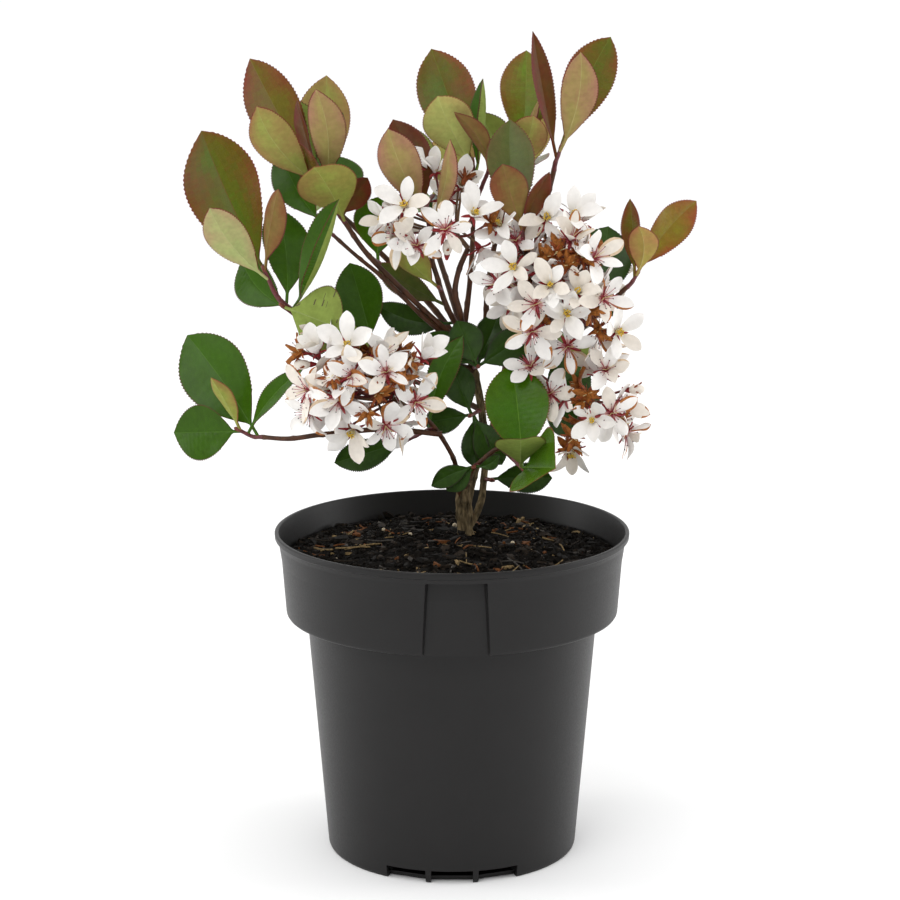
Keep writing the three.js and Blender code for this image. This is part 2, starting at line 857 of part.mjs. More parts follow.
// One mass: its twig, then each part that meets nothing made before it
function addMass(name, on, twig, parts, colour) {
  const earlier = made.filter((node) => node.name !== on).map((node) => node.solid);
  const room = rooms[on];
  const stem = largest(without(twig, Object.values(rooms).flat()));
  const kept = parts.filter((part) => !touches(part, earlier));
  const left = parts.length - kept.length;
  addNode(name, without(fused([stem, ...kept]), room), colour, 0.5);
  plant.children.at(-1).userData.leftOut = left;
}

function shootTwig(shoot) {
  const limb = routes[shoot.on];
  const foot = shoot.foot ? vec(shoot.foot) : limb.at(1);
  const run = vec(shoot.run);
  const towards = shoot.foot ? run.clone().normalize() : limb.towards(1);
  const middle = foot.clone().addScaledVector(towards, run.length() * 0.45);
  const thick = shoot.foot ? 1.1 : limb.radius(1);
  return new Route([foot, middle, foot.clone().add(run)], [thick, 0.9]);
}

function addShoot(shoot) {
  const twig = shootTwig(shoot);
  const leaves = shoot.leaves.map((size) => {
    const along = leafAim(size);
    return leafSolid(twig.at(size.along), along, leafFace(along, FRONT, size.turn), size);
  });
  const colour = shoot.foot ? COLOURS.old : COLOURS.young;
  addMass(shoot.name, shoot.on, twig.tube(3, TWIG_SIDES), leaves, colour);
}

// The rule of a back shoot: leaves in a spiral up its twig, less spread towards the tip
function addBackShoot(shoot) {
  const twig = shootTwig(shoot);
  const draw = seeded(shoot.seed);
  const middle = vec(shoot.middle);
  const leaves = [];
  for (let k = 0; k < shoot.count; k += 1) {
    const t = 0.15 + (0.85 * k) / (shoot.count - 1);
    const axis = twig.towards(t);
    const side = new THREE.Vector3(1, 0, 0).cross(axis).normalize();
    const spread = radians(72 - 44 * t + 10 * (draw() - 0.5));
    const out = turned(side, axis, SPIRAL * k + 0.5 * (draw() - 0.5));
    const along = axis.clone().multiplyScalar(Math.cos(spread)).addScaledVector(out, Math.sin(spread));
    const length = 42 + 16 * draw();
    const width = length * (0.44 + 0.08 * draw());
    const size = { length, width, arch: 14 + 10 * draw(), bow: 0 };
    const foot = twig.at(t);
    const tip = foot.clone().addScaledVector(along, length).sub(middle);
    if (tip.divide(vec(shoot.reach)).length() > 1) continue;
    leaves.push(leafSolid(foot, along, leafFace(along, axis, 0), size));
  }
  addMass(shoot.name, shoot.on, twig.tube(4, TWIG_SIDES), leaves, COLOURS.old);
}

// The rule of a head: flowers on the outside of a rounded space, each facing out of it
function headPlaces(head) {
  const [wide, deep, tall] = head.half;
  const front = head.front.map(([x, z]) => {
    const left = Math.max(0.06, 1 - (x / wide) ** 2 - (z / tall) ** 2);
    return [x, -deep * Math.sqrt(left), z];
  });
  const rest = Array.from({ length: head.rest }, (_, k) => {
    const around = SPIRAL * k;
    const height = head.front.length ? (2 * k + 1) / head.rest - 1 : 0.95 - (1.7 * k) / head.rest;
    const level = Math.sqrt(1 - height ** 2);
    const y = head.front.length ? Math.abs(Math.sin(around)) : Math.sin(around);
    return [wide * level * Math.cos(around), deep * level * y, tall * height];
  });
  return [...front, ...rest].map(vec);
}

function addHead(head) {
  const limb = routes[head.on];
  const draw = seeded(head.seed);
  const middle = vec(head.middle);
  const foot = limb.at(1);
  const stem = new Route([foot, foot.clone().lerp(middle, 0.5), middle], [limb.radius(1), 0.9]);
  const [wide, deep, tall] = head.half;
  const flowers = headPlaces(head).map((offset) => {
    const out = new THREE.Vector3(offset.x / wide ** 2, offset.y / deep ** 2, offset.z / tall ** 2);
    out.normalize();
    const place = middle.clone().addScaledVector(offset, 0.86);
    const root = stem.at(0.35 + 0.6 * draw());
    const cup = radians(PETAL.cup + 24 * (draw() - 0.5));
    return flowerSolid(place, out, root, 2 * Math.PI * draw(), cup);
  });
  addMass(head.name, head.on, stem.tube(3, TWIG_SIDES), flowers, COLOURS.petal);
}

addNode("pot", potSolid(), COLOURS.pot, 0.55);
addNode("soil", soilSolid(), COLOURS.soil, 0.95);
addTrunk();
LIMBS.forEach(addLimb);
SHOOTS.forEach(addShoot);
HEART_SHOOTS.forEach(addShoot);
HEADS.forEach(addHead);
BACK_SHOOTS.forEach(addBackShoot);

export default plant;
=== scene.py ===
"""The looks of a potted indian hawthorn: pot, potting mix, bark, leaves and blossom over its solids.

Tables give sizes in millimetres and angles in degrees, and MM turns a finished mesh into metres.
+Z is up, -Y is the front, and the origin is the middle of the pot's flat underside.
"""

import logging
import math
from dataclasses import dataclass, field
from enum import Enum
from functools import cache

import bpy
import numpy as np
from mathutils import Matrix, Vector, noise


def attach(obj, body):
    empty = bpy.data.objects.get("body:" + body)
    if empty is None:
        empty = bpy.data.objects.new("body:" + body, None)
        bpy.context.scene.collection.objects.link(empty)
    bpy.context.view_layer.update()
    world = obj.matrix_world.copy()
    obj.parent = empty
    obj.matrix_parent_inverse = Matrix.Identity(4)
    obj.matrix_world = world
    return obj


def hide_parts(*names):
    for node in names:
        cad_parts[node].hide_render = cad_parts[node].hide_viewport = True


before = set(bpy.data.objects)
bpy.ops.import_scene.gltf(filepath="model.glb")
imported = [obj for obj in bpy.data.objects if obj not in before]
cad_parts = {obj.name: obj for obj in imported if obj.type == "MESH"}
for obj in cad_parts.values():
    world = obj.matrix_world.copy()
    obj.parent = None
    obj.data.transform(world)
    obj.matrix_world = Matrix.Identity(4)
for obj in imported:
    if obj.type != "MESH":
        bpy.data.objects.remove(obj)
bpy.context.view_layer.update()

LOG = logging.getLogger("hawthorn")
Array = np.ndarray
Body = tuple[Array, Array]
Pair = tuple[float, float]
Triple = tuple[float, float, float]
Random = np.random.Generator
Tree = bpy.types.ShaderNodeTree
Node = bpy.types.Node
Socket = bpy.types.NodeSocket

MM = 0.001
FRONT = np.array([0.0, -1.0, 0.0])
UP = np.array([0.0, 0.0, 1.0])
SPIRAL = 137.5
SHARP_EDGE = math.radians(50)


# Vectors, seeded numbers and closed bodies


def unit(vectors: Array) -> Array:
    """Vectors brought to a length of one."""
    return vectors / np.linalg.norm(vectors, axis=-1, keepdims=True)


def turned(vector: Array, axis: Array, degrees: float) -> Array:
    """Turn a vector about an axis.

    Args:
        vector: The vector to turn.
        axis: The axis, of length one.
        degrees: The angle, right-handed.

    Returns:
        The turned vector.
    """
    angle = math.radians(degrees)
    sideways = np.cross(axis, vector)
    kept = axis * (axis @ vector) * (1 - math.cos(angle))
    return vector * math.cos(angle) + sideways * math.sin(angle) + kept


def eased(values: Array, low: float, high: float) -> Array:
    """Rise smoothly from 0 at low to 1 at high."""
    share = np.clip((values - low) / (high - low), 0, 1)
    return share * share * (3 - 2 * share)


@dataclass
class Draw:
    """Seeded numbers from 0 to 1, the same run as the rule that grew the solids."""

    MASK = 0xFFFFFFFF
    STEP = 0x6D2B79F5
    state: int

    def __call__(self) -> float:
        """Draw the next number.

        Returns:
            A number from 0 up to 1.
        """
        self.state = (self.state + self.STEP) & self.MASK
        mixed = self.state
        mixed = ((mixed ^ (mixed >> 15)) * (mixed | 1)) & self.MASK
        mixed ^= (mixed + ((mixed ^ (mixed >> 7)) * (mixed | 61) & self.MASK)) & self.MASK
        return ((mixed ^ (mixed >> 14)) & self.MASK) / (self.MASK + 1)


def sleeve(rings: Array) -> Body:
    """Skin a closed body over rings of points, each end closed to the middle of its ring.

    Args:
        rings: Points by row and place round the row.

    Returns:
        The points, and triangles that face out: two for each cell by row, then the two ends.
    """
    rows, around, _ = rings.shape
    points = np.concatenate([rings.reshape(-1, 3), rings[:1].mean(1), rings[-1:].mean(1)])
    row, place = np.meshgrid(np.arange(rows - 1), np.arange(around), indexing="ij")
    after = (place + 1) % around
    near, near_after = row * around + place, row * around + after
    far, far_after = near + around, near_after + around
    first = np.stack([near, near_after, far_after], -1)
    second = np.stack([near, far_after, far], -1)
    sides = np.stack([first, second], -2).reshape(-1, 3)
    here = np.arange(around)
    there = (here + 1) % around
    start = np.stack([there, here, np.full(around, rows * around)], -1)
    last = (rows - 1) * around
    end = np.stack([last + here, last + there, np.full(around, rows * around + 1)], -1)
    faces = np.concatenate([sides, start, end])
    corners = (points - points.mean(0))[faces]
    volume = np.einsum("ij,ij->i", corners[:, 0], np.cross(corners[:, 1], corners[:, 2])).sum()
    return points, faces if volume > 0 else faces[:, ::-1]


@dataclass
class Route:
    """A smooth curve through points, with its radius at even steps along it, as the solids' limbs have."""

    points: list[Array]
    radii: tuple[float, ...]

    def at(self, t: float) -> Array:
        """Find the point at a share of the way along.

        Args:
            t: From 0 at the foot to 1 at the tip.

        Returns:
            The point.
        """
        last = len(self.points) - 1
        low = min(int(t * last), last - 1)
        share = t * last - low
        here, there = self.points[low], self.points[low + 1]
        before = self.points[low - 1] if low else 2 * here - there
        after = self.points[low + 2] if low + 2 <= last else 2 * there - here
        steps = [here - before, there - here, after - there]
        behind, between, ahead = (float((step @ step) ** 0.25) for step in steps)
        leave = (steps[0] / behind - (there - before) / (behind + between) + steps[1] / between) * between
        arrive = (steps[1] / between - (after - here) / (between + ahead) + steps[2] / ahead) * between
        square = -3 * here + 3 * there - 2 * leave - arrive
        cube = 2 * here - 2 * there + leave + arrive
        return here + leave * share + square * share**2 + cube * share**3

    def towards(self, t: float) -> Array:
        """Give the direction of the curve at a share of the way along."""
        nudge = 0.0001
        return unit(self.at(min(t + nudge, 1)) - self.at(max(t - nudge, 0)))

    def radius(self, t: float) -> float:
        """Give the radius at a share of the way along."""
        return float(np.interp(t, np.linspace(0, 1, len(self.radii)), self.radii))

    def tube(self, stations: int, sides: int, relief: "Relief | None" = None) -> Body:
        """Skin a tapering tube with the relief of its bark.

        Args:
            stations: How many steps it has along.
            sides: How many points go round it.
            relief: What stands out of its round surface.

        Returns:
            The closed body.
        """
        angles = np.linspace(0, 2 * math.pi, sides, endpoint=False)
        rings, side, travelled = [], np.array([1.0, 0, 0]), 0.0
        here = self.at(0)
        for t in np.linspace(0, 1, stations + 1):
            middle, along = self.at(t), self.towards(t)
            travelled += float(np.linalg.norm(middle - here))
            here = middle
            side = unit(side - along * (side @ along))
            over = np.cross(along, side)
            radius = np.full(sides, self.radius(t))
            if relief:
                radius = radius + relief.height(travelled, angles)
            spokes = np.outer(np.cos(angles), side) + np.outer(np.sin(angles), over)
            rings.append(middle + spokes * radius[:, None])
        return sleeve(np.array(rings))


def plate(middle: Array, across: Array, normal: Array, flat: Array, above: Array, below: Array) -> Body:
    """Skin a thin body, such as a leaf or a petal, over a line of middles.

    Args:
        middle: The line's points, by row.
        across: The way that the rows run.
        normal: The way that the upper side looks, by row.
        flat: Each point's place across, by row and column.
        above: The upper side's heights, by row and column.
        below: The lower side's heights, by row and column.

    Returns:
        The closed body.
    """
    sheet = middle[:, None] + across * flat[..., None]
    upper = sheet + normal[:, None] * above[..., None]
    lower = sheet + normal[:, None] * below[..., None]
    return sleeve(np.concatenate([upper, lower[:, -2:0:-1]], 1))


@dataclass(frozen=True)
class Relief:
    """What stands out of a limb's round surface: ridges along it, and the scars of old leaves."""

    ridge: float = 0.1
    waves: tuple[int, ...] = (3, 5, 7, 11)
    wander: float = 9.0
    scar: float = 0.3
    scar_gap: float = 14.0
    scar_long: float = 1.1
    scar_side: float = 0.45
    seed: int = 1

    def height(self, travelled: float, angles: Array) -> Array:
        """Give the height of the bark round one ring.

        Args:
            travelled: How far along the limb the ring is.
            angles: The places round it, in radians.

        Returns:
            The height above the round surface at each place.
        """
        draw = Draw(self.seed)
        total = np.zeros_like(angles)
        for wave in self.waves:
            start, drift, pace = draw() * 6.28, 1.5 + 2 * draw(), self.wander * (0.6 + draw())
            total += np.cos(wave * angles + start + drift * math.sin(travelled / pace + start))
        ridges = self.ridge * total / math.sqrt(len(self.waves))
        number = round(travelled / self.scar_gap)
        apart = travelled - number * self.scar_gap
        face = 1 - self.scar_side + self.scar_side * np.cos(angles - math.radians(SPIRAL) * number)
        return ridges + self.scar * face * math.exp(-((apart / self.scar_long) ** 2))


# Finishes: shader node groups, and materials made with them


def linear(tint: str, share: float = 1.0) -> tuple[float, float, float, float]:
    """Turn a screen tint into the linear colour that shaders take.

    Args:
        tint: Six hex digits.
        share: What the colour is multiplied by.

    Returns:
        Red, green, blue and an alpha of one.
    """
    parts = [int(tint[i : i + 2], 16) / 255 for i in (0, 2, 4)]
    red, green, blue = (c / 12.92 if c <= 0.04045 else ((c + 0.055) / 1.055) ** 2.4 for c in parts)
    return (red * share, green * share, blue * share, 1.0)


def blended(first: str, second: str, share: float) -> str:
    """Mix two screen tints.

    Args:
        first: The tint at share 0.
        second: The tint at share 1.
        share: How much of the second there is.

    Returns:
        Six hex digits.
    """
    mixed = ""
    for i in (0, 2, 4):
        a, b = int(first[i : i + 2], 16), int(second[i : i + 2], 16)
        mixed += f"{round(a + (b - a) * share):02x}"
    return mixed


class Effects:
    """Shader node groups that the finishes share, each built once."""

    PATCH_RANGE = (0.36, 0.64)
    PATCH_DETAIL = 3.0
    GRAIN_RANGE = (0.3, 0.7)
    GRAIN_DETAIL = 5.0

    @staticmethod
    def start(name: str, takes: dict[str, str], gives: dict[str, str]) -> Tree:
        """Open a node group with named sockets.

        Args:
            name: The group's name.
            takes: The kind of socket for each input's name.
            gives: The kind of socket for each output's name.

        Returns:
            The group, with its input and output nodes.
        """
        tree = bpy.data.node_groups.new(name, "ShaderNodeTree")
        for label, kind in takes.items():
            tree.interface.new_socket(name=label, in_out="INPUT", socket_type=f"NodeSocket{kind}")
        for label, kind in gives.items():
            tree.interface.new_socket(name=label, in_out="OUTPUT", socket_type=f"NodeSocket{kind}")
        tree.nodes.new("NodeGroupInput").name = "takes"
        tree.nodes.new("NodeGroupOutput").name = "gives"
        return tree

    @staticmethod
    def noise(tree: Tree, scale: str, detail: float, across: Pair) -> tuple[Node, Node]:
        """Lay noise over the object's own space, and spread the middle of its range.

        Args:
            tree: The group that it goes into, with Stretch among its inputs.
            scale: The group's input that says how fine it is.
            detail: How many finer layers it has.
            across: The part of its range that is spread.

        Returns:
            The noise node, and the one that spreads it.
        """
        source = tree.nodes["takes"]
        place = tree.nodes.new("ShaderNodeTexCoord")
        scaled = tree.nodes.new("ShaderNodeVectorMath")
        scaled.operation = "MULTIPLY"
        pattern = tree.nodes.new("ShaderNodeTexNoise")
        pattern.inputs["Detail"].default_value = detail
        spread = tree.nodes.new("ShaderNodeMapRange")
        spread.inputs["From Min"].default_value, spread.inputs["From Max"].default_value = across
        tree.links.new(place.outputs["Object"], scaled.inputs[0])
        tree.links.new(source.outputs["Stretch"], scaled.inputs[1])
        tree.links.new(scaled.outputs[0], pattern.inputs["Vector"])
        tree.links.new(source.outputs[scale], pattern.inputs["Scale"])
        tree.links.new(pattern.outputs["Fac"], spread.inputs["Value"])
        return pattern, spread

    @classmethod
    @cache
    def mottle(cls) -> Tree:
        """Build the group that mixes two tints in soft patches.

        Returns:
            The group, with Tint as its output.
        """
        scale = "Cells per metre"
        takes = {"Light tint": "Color", "Dark tint": "Color", scale: "Float", "Stretch": "Vector"}
        tree = cls.start("Mottled tint", takes, {"Tint": "Color"})
        source, result = tree.nodes["takes"], tree.nodes["gives"]
        _, spread = cls.noise(tree, scale, cls.PATCH_DETAIL, cls.PATCH_RANGE)
        mix = tree.nodes.new("ShaderNodeMix")
        mix.data_type = "RGBA"
        tree.links.new(spread.outputs["Result"], mix.inputs["Factor"])
        tree.links.new(source.outputs["Light tint"], mix.inputs["A"])
        tree.links.new(source.outputs["Dark tint"], mix.inputs["B"])
        tree.links.new(mix.outputs["Result"], result.inputs["Tint"])
        return tree

    @classmethod
    @cache
    def grain(cls) -> Tree:
        """Build the group that gives a fine grain its height and its change of gloss.

        Returns:
            The group, with Height and Roughness as its outputs.
        """
        scale = "Grains per metre"
        takes = {scale: "Float", "Stretch": "Vector", "Smoothest": "Float", "Roughest": "Float"}
        tree = cls.start("Fine grain", takes, {"Height": "Float", "Roughness": "Float"})
        source, result = tree.nodes["takes"], tree.nodes["gives"]
        pattern, spread = cls.noise(tree, scale, cls.GRAIN_DETAIL, cls.GRAIN_RANGE)
        tree.links.new(source.outputs["Smoothest"], spread.inputs["To Min"])
        tree.links.new(source.outputs["Roughest"], spread.inputs["To Max"])
        tree.links.new(spread.outputs["Result"], result.inputs["Roughness"])
        tree.links.new(pattern.outputs["Fac"], result.inputs["Height"])
        return tree


@dataclass(frozen=True)
class Finish:
    """One finish: a tint and a darker one in patches, with a fine grain that shines unevenly."""

    name: str
    tint: str
    darker: float = 0.8
    patch: float = 3.0
    grain: float = 0.7
    relief: float = 0.05
    rough: Pair = (0.35, 0.5)
    stretch: Triple = (1.0, 1.0, 1.0)
    sheen: float = 0.5

    def material(self) -> bpy.types.Material:
        """Build the finish as a material.

        Returns:
            The material, built once for each finish.
        """
        found = bpy.data.materials.get(self.name)
        if found:
            return found
        made = bpy.data.materials.new(self.name)
        made.use_nodes = True
        tree = made.node_tree
        shader = tree.nodes["Principled BSDF"]
        shader.inputs["Specular IOR Level"].default_value = self.sheen
        mottle = self.placed(tree, Effects.mottle())
        mottle.inputs["Light tint"].default_value = linear(self.tint)
        mottle.inputs["Dark tint"].default_value = linear(self.tint, self.darker)
        mottle.inputs["Cells per metre"].default_value = 1 / (self.patch * MM)
        grain = self.placed(tree, Effects.grain())
        grain.inputs["Grains per metre"].default_value = 1 / (self.grain * MM)
        grain.inputs["Smoothest"].default_value = self.rough[0]
        grain.inputs["Roughest"].default_value = self.rough[1]
        bump = tree.nodes.new("ShaderNodeBump")
        bump.inputs["Distance"].default_value = self.relief * MM
        tree.links.new(mottle.outputs["Tint"], shader.inputs["Base Color"])
        tree.links.new(grain.outputs["Roughness"], shader.inputs["Roughness"])
        tree.links.new(grain.outputs["Height"], bump.inputs["Height"])
        tree.links.new(bump.outputs["Normal"], shader.inputs["Normal"])
        made.diffuse_color = linear(self.tint)
        return made

    def placed(self, tree: Tree, group: Tree) -> Node:
        """Set a shared group into a material, with this finish's stretch.

        Args:
            tree: The material's nodes.
            group: The group.

        Returns:
            The node that holds it.
        """
        node = tree.nodes.new("ShaderNodeGroup")
        node.node_tree = group
        node.inputs["Stretch"].default_value = self.stretch
        return node


@dataclass
class Pile:
    """Bodies gathered in millimetres for one joined piece, each face with the finish it wears."""

    name: str
    points: list[Array] = field(default_factory=list)
    faces: list[Array] = field(default_factory=list)
    worn: list[Array] = field(default_factory=list)
    finishes: list[Finish] = field(default_factory=list)
    count: int = 0

    def slot_of(self, finish: Finish) -> int:
        """Find a finish in the pile's list, and add it where it is new.

        Args:
            finish: The finish.

        Returns:
            Its place in the list.
        """
        if finish not in self.finishes:
            self.finishes.append(finish)
        return self.finishes.index(finish)

    def add(self, body: Body, worn: "Finish | Array") -> None:
        """Lay a body on the pile.

        Args:
            body: Its points and faces.
            worn: Its one finish, or the place in the pile's list for each face.
        """
        points, faces = body
        slots = np.full(len(faces), self.slot_of(worn)) if isinstance(worn, Finish) else worn
        self.points.append(points)
        self.faces.append(faces + self.count)
        self.worn.append(slots)
        self.count += len(points)

    def finish(self, slot: str, *nodes: str, sharp: float = SHARP_EDGE) -> bpy.types.Object:
        """Join the pile into one piece, and set it in the place of its solids.

        Args:
            slot: The record's material slot for the piece; not used.
            nodes: The solids that it stands for.
            sharp: The angle past which an edge isn't shaded smooth, in radians.

        Returns:
            The piece.
        """
        piece = self.joined()
        piece.data.shade_smooth()
        piece.data.set_sharp_from_angle(angle=sharp)
        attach(piece, "root")
        if nodes:
            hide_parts(*nodes)
        LOG.info("%s: %d triangles, for %d solids", piece.name, len(piece.data.polygons), len(nodes))
        return piece

    def joined(self) -> bpy.types.Object:
        """Join the pile into one object.

        Returns:
            The object, with its finishes on.
        """
        points = np.concatenate(self.points) * MM
        faces = np.concatenate(self.faces).astype(np.int32)
        mesh = bpy.data.meshes.new(self.name)
        mesh.vertices.add(len(points))
        mesh.loops.add(faces.size)
        mesh.polygons.add(len(faces))
        mesh.vertices.foreach_set("co", points.astype(np.float32).ravel())
        mesh.loops.foreach_set("vertex_index", faces.ravel())
        mesh.polygons.foreach_set("loop_start", np.arange(0, faces.size, 3, dtype=np.int32))
        mesh.polygons.foreach_set("material_index", np.concatenate(self.worn).astype(np.int32))
        mesh.update(calc_edges=True)
        for worn in self.finishes:
            mesh.materials.append(worn.material())
        piece = bpy.data.objects.new(self.name, mesh)
        bpy.context.scene.collection.objects.link(piece)
        return piece


Piles = dict[str, Pile]


# The studio


@dataclass(frozen=True)
class Lamp:
    """One soft light: where it hangs and its width and height, in metres, and its watts."""

    name: str
    place: Triple
    size: Pair
    watts: float

    def hang(self, aim: Triple) -> None:
        """Hang the light.

        Args:
            aim: The point that it looks at, in metres.
        """
        data = bpy.data.lights.new(self.name, "AREA")
        data.shape = "RECTANGLE"
        data.size, data.size_y = self.size
        data.energy = self.watts
        lamp = bpy.data.objects.new(self.name, data)
        lamp.location = self.place
        lamp.rotation_euler = (Vector(aim) - Vector(self.place)).to_track_quat("-Z", "Y").to_euler()
        bpy.context.scene.collection.objects.link(lamp)


@dataclass
class Studio:
    """A pale floor, soft lights and the camera, where the photograph was taken from."""

    focal_px: float = 2525.0
    frame_px: float = 900.0
    sensor: float = 36.0
    camera: Triple = (-1.0, -1246.0, 473.0)
    pitch: float = 12.06
    floor_half: float = 40.0
    floor_finish: Finish = Finish(
        "studio_floor", "fbfbfb", darker=1.0, patch=200, rough=(0.9, 0.95), relief=0.0, sheen=0.0
    )
    low_front: float = 0.31
    low_back: float = 1.0
    overhead: float = 1.18
    front_to_back: Pair = (-0.8, 0.3)
    low_to_high: Pair = (0.1, 0.8)
    aim: Triple = (0, 0, 0.22)
    lamps: tuple[Lamp, ...] = (
        Lamp("key", (-0.9, -1.6, 1.9), (1.3, 1.2), 12.5),
        Lamp("left_strip", (-1.7, 0.1, 0.5), (0.6, 1.4), 8.0),
        Lamp("right_strip", (1.7, 0.15, 0.5), (0.7, 1.4), 9.5),
    )

    def build(self) -> None:
        """Set up the camera, the floor, the sky and the lights."""
        self.set_camera()
        self.set_floor()
        self.set_sky()
        for lamp in self.lamps:
            lamp.hang(self.aim)
        bpy.context.scene.view_settings.view_transform = "Standard"

    def set_camera(self) -> None:
        """Place the camera and give it the photograph's lens."""
        data = bpy.data.cameras.new("camera")
        data.sensor_width = self.sensor
        data.lens = self.sensor * self.focal_px / self.frame_px
        data.clip_end = 200
        seen = bpy.data.objects.new("camera", data)
        seen.location = Vector(self.camera) * MM
        seen.rotation_euler = (math.radians(90 - self.pitch), 0, 0)
        bpy.context.scene.collection.objects.link(seen)
        bpy.context.scene.camera = seen

    def set_floor(self) -> None:
        """Lay the pale floor."""
        half = self.floor_half
        mesh = bpy.data.meshes.new("floor")
        corners = [(-half, -half, 0), (half, -half, 0), (half, half, 0), (-half, half, 0)]
        mesh.from_pydata(corners, [], [(0, 1, 2, 3)])
        mesh.materials.append(self.floor_finish.material())
        floor = bpy.data.objects.new("floor", mesh)
        bpy.context.scene.collection.objects.link(floor)

    def set_sky(self) -> None:
        """Surround the floor with a white room: brightest overhead and behind, darkest low in front."""
        world = bpy.data.worlds.new("sky")
        world.use_nodes = True
        tree = world.node_tree
        ground = tree.nodes["Background"]
        ground.inputs["Color"].default_value = (1, 1, 1, 1)
        place = tree.nodes.new("ShaderNodeTexCoord")
        parts = tree.nodes.new("ShaderNodeSeparateXYZ")
        tree.links.new(place.outputs["Generated"], parts.inputs[0])
        level = self.ramp(tree, parts.outputs["Y"], self.front_to_back, (self.low_front, self.low_back))
        rise = self.ramp(tree, parts.outputs["Z"], self.low_to_high, (0.0, 1.0))
        mix = tree.nodes.new("ShaderNodeMix")
        mix.inputs["B"].default_value = self.overhead
        tree.links.new(rise, mix.inputs["Factor"])
        tree.links.new(level, mix.inputs["A"])
        tree.links.new(mix.outputs["Result"], ground.inputs["Strength"])
        bpy.context.scene.world = world

    @staticmethod
    def ramp(tree: Tree, value: Socket, across: Pair, to: Pair) -> Socket:
        """Carry a value smoothly from one range to another.

        Args:
            tree: The nodes that it joins.
            value: The value.
            across: The range that it is read over.
            to: What it becomes at that range's ends.

        Returns:
            The socket with the new value.
        """
        spread = tree.nodes.new("ShaderNodeMapRange")
        spread.interpolation_type = "SMOOTHSTEP"
        spread.inputs["From Min"].default_value, spread.inputs["From Max"].default_value = across
        spread.inputs["To Min"].default_value, spread.inputs["To Max"].default_value = to
        tree.links.new(value, spread.inputs["Value"])
        return spread.outputs["Result"]


# The pot and what fills it


def filleted(corners: list[Triple], steps: int = 5) -> list[Pair]:
    """Round the corners of an outline.

    Args:
        corners: Each corner's place out and up, and the radius that rounds it.
        steps: How many points each rounding has.

    Returns:
        The outline's points.
    """
    outline = []
    for i, (out, up, radius) in enumerate(corners):
        here = np.array([out, up])
        if radius <= 0 or i in (0, len(corners) - 1):
            outline.append((out, up))
            continue
        back = unit(np.array(corners[i - 1][:2]) - here)
        on = unit(np.array(corners[i + 1][:2]) - here)
        half = math.acos(float(np.clip(back @ on, -1, 1))) / 2
        room = min(math.dist(corners[i - 1][:2], here), math.dist(corners[i + 1][:2], here))
        reach = min(radius / math.tan(half), 0.45 * room)
        start, stop = here + back * reach, here + on * reach
        for share in np.linspace(0, 1, steps):
            bent = (1 - share) ** 2 * start + 2 * share * (1 - share) * here + share**2 * stop
            outline.append((float(bent[0]), float(bent[1])))
    return outline


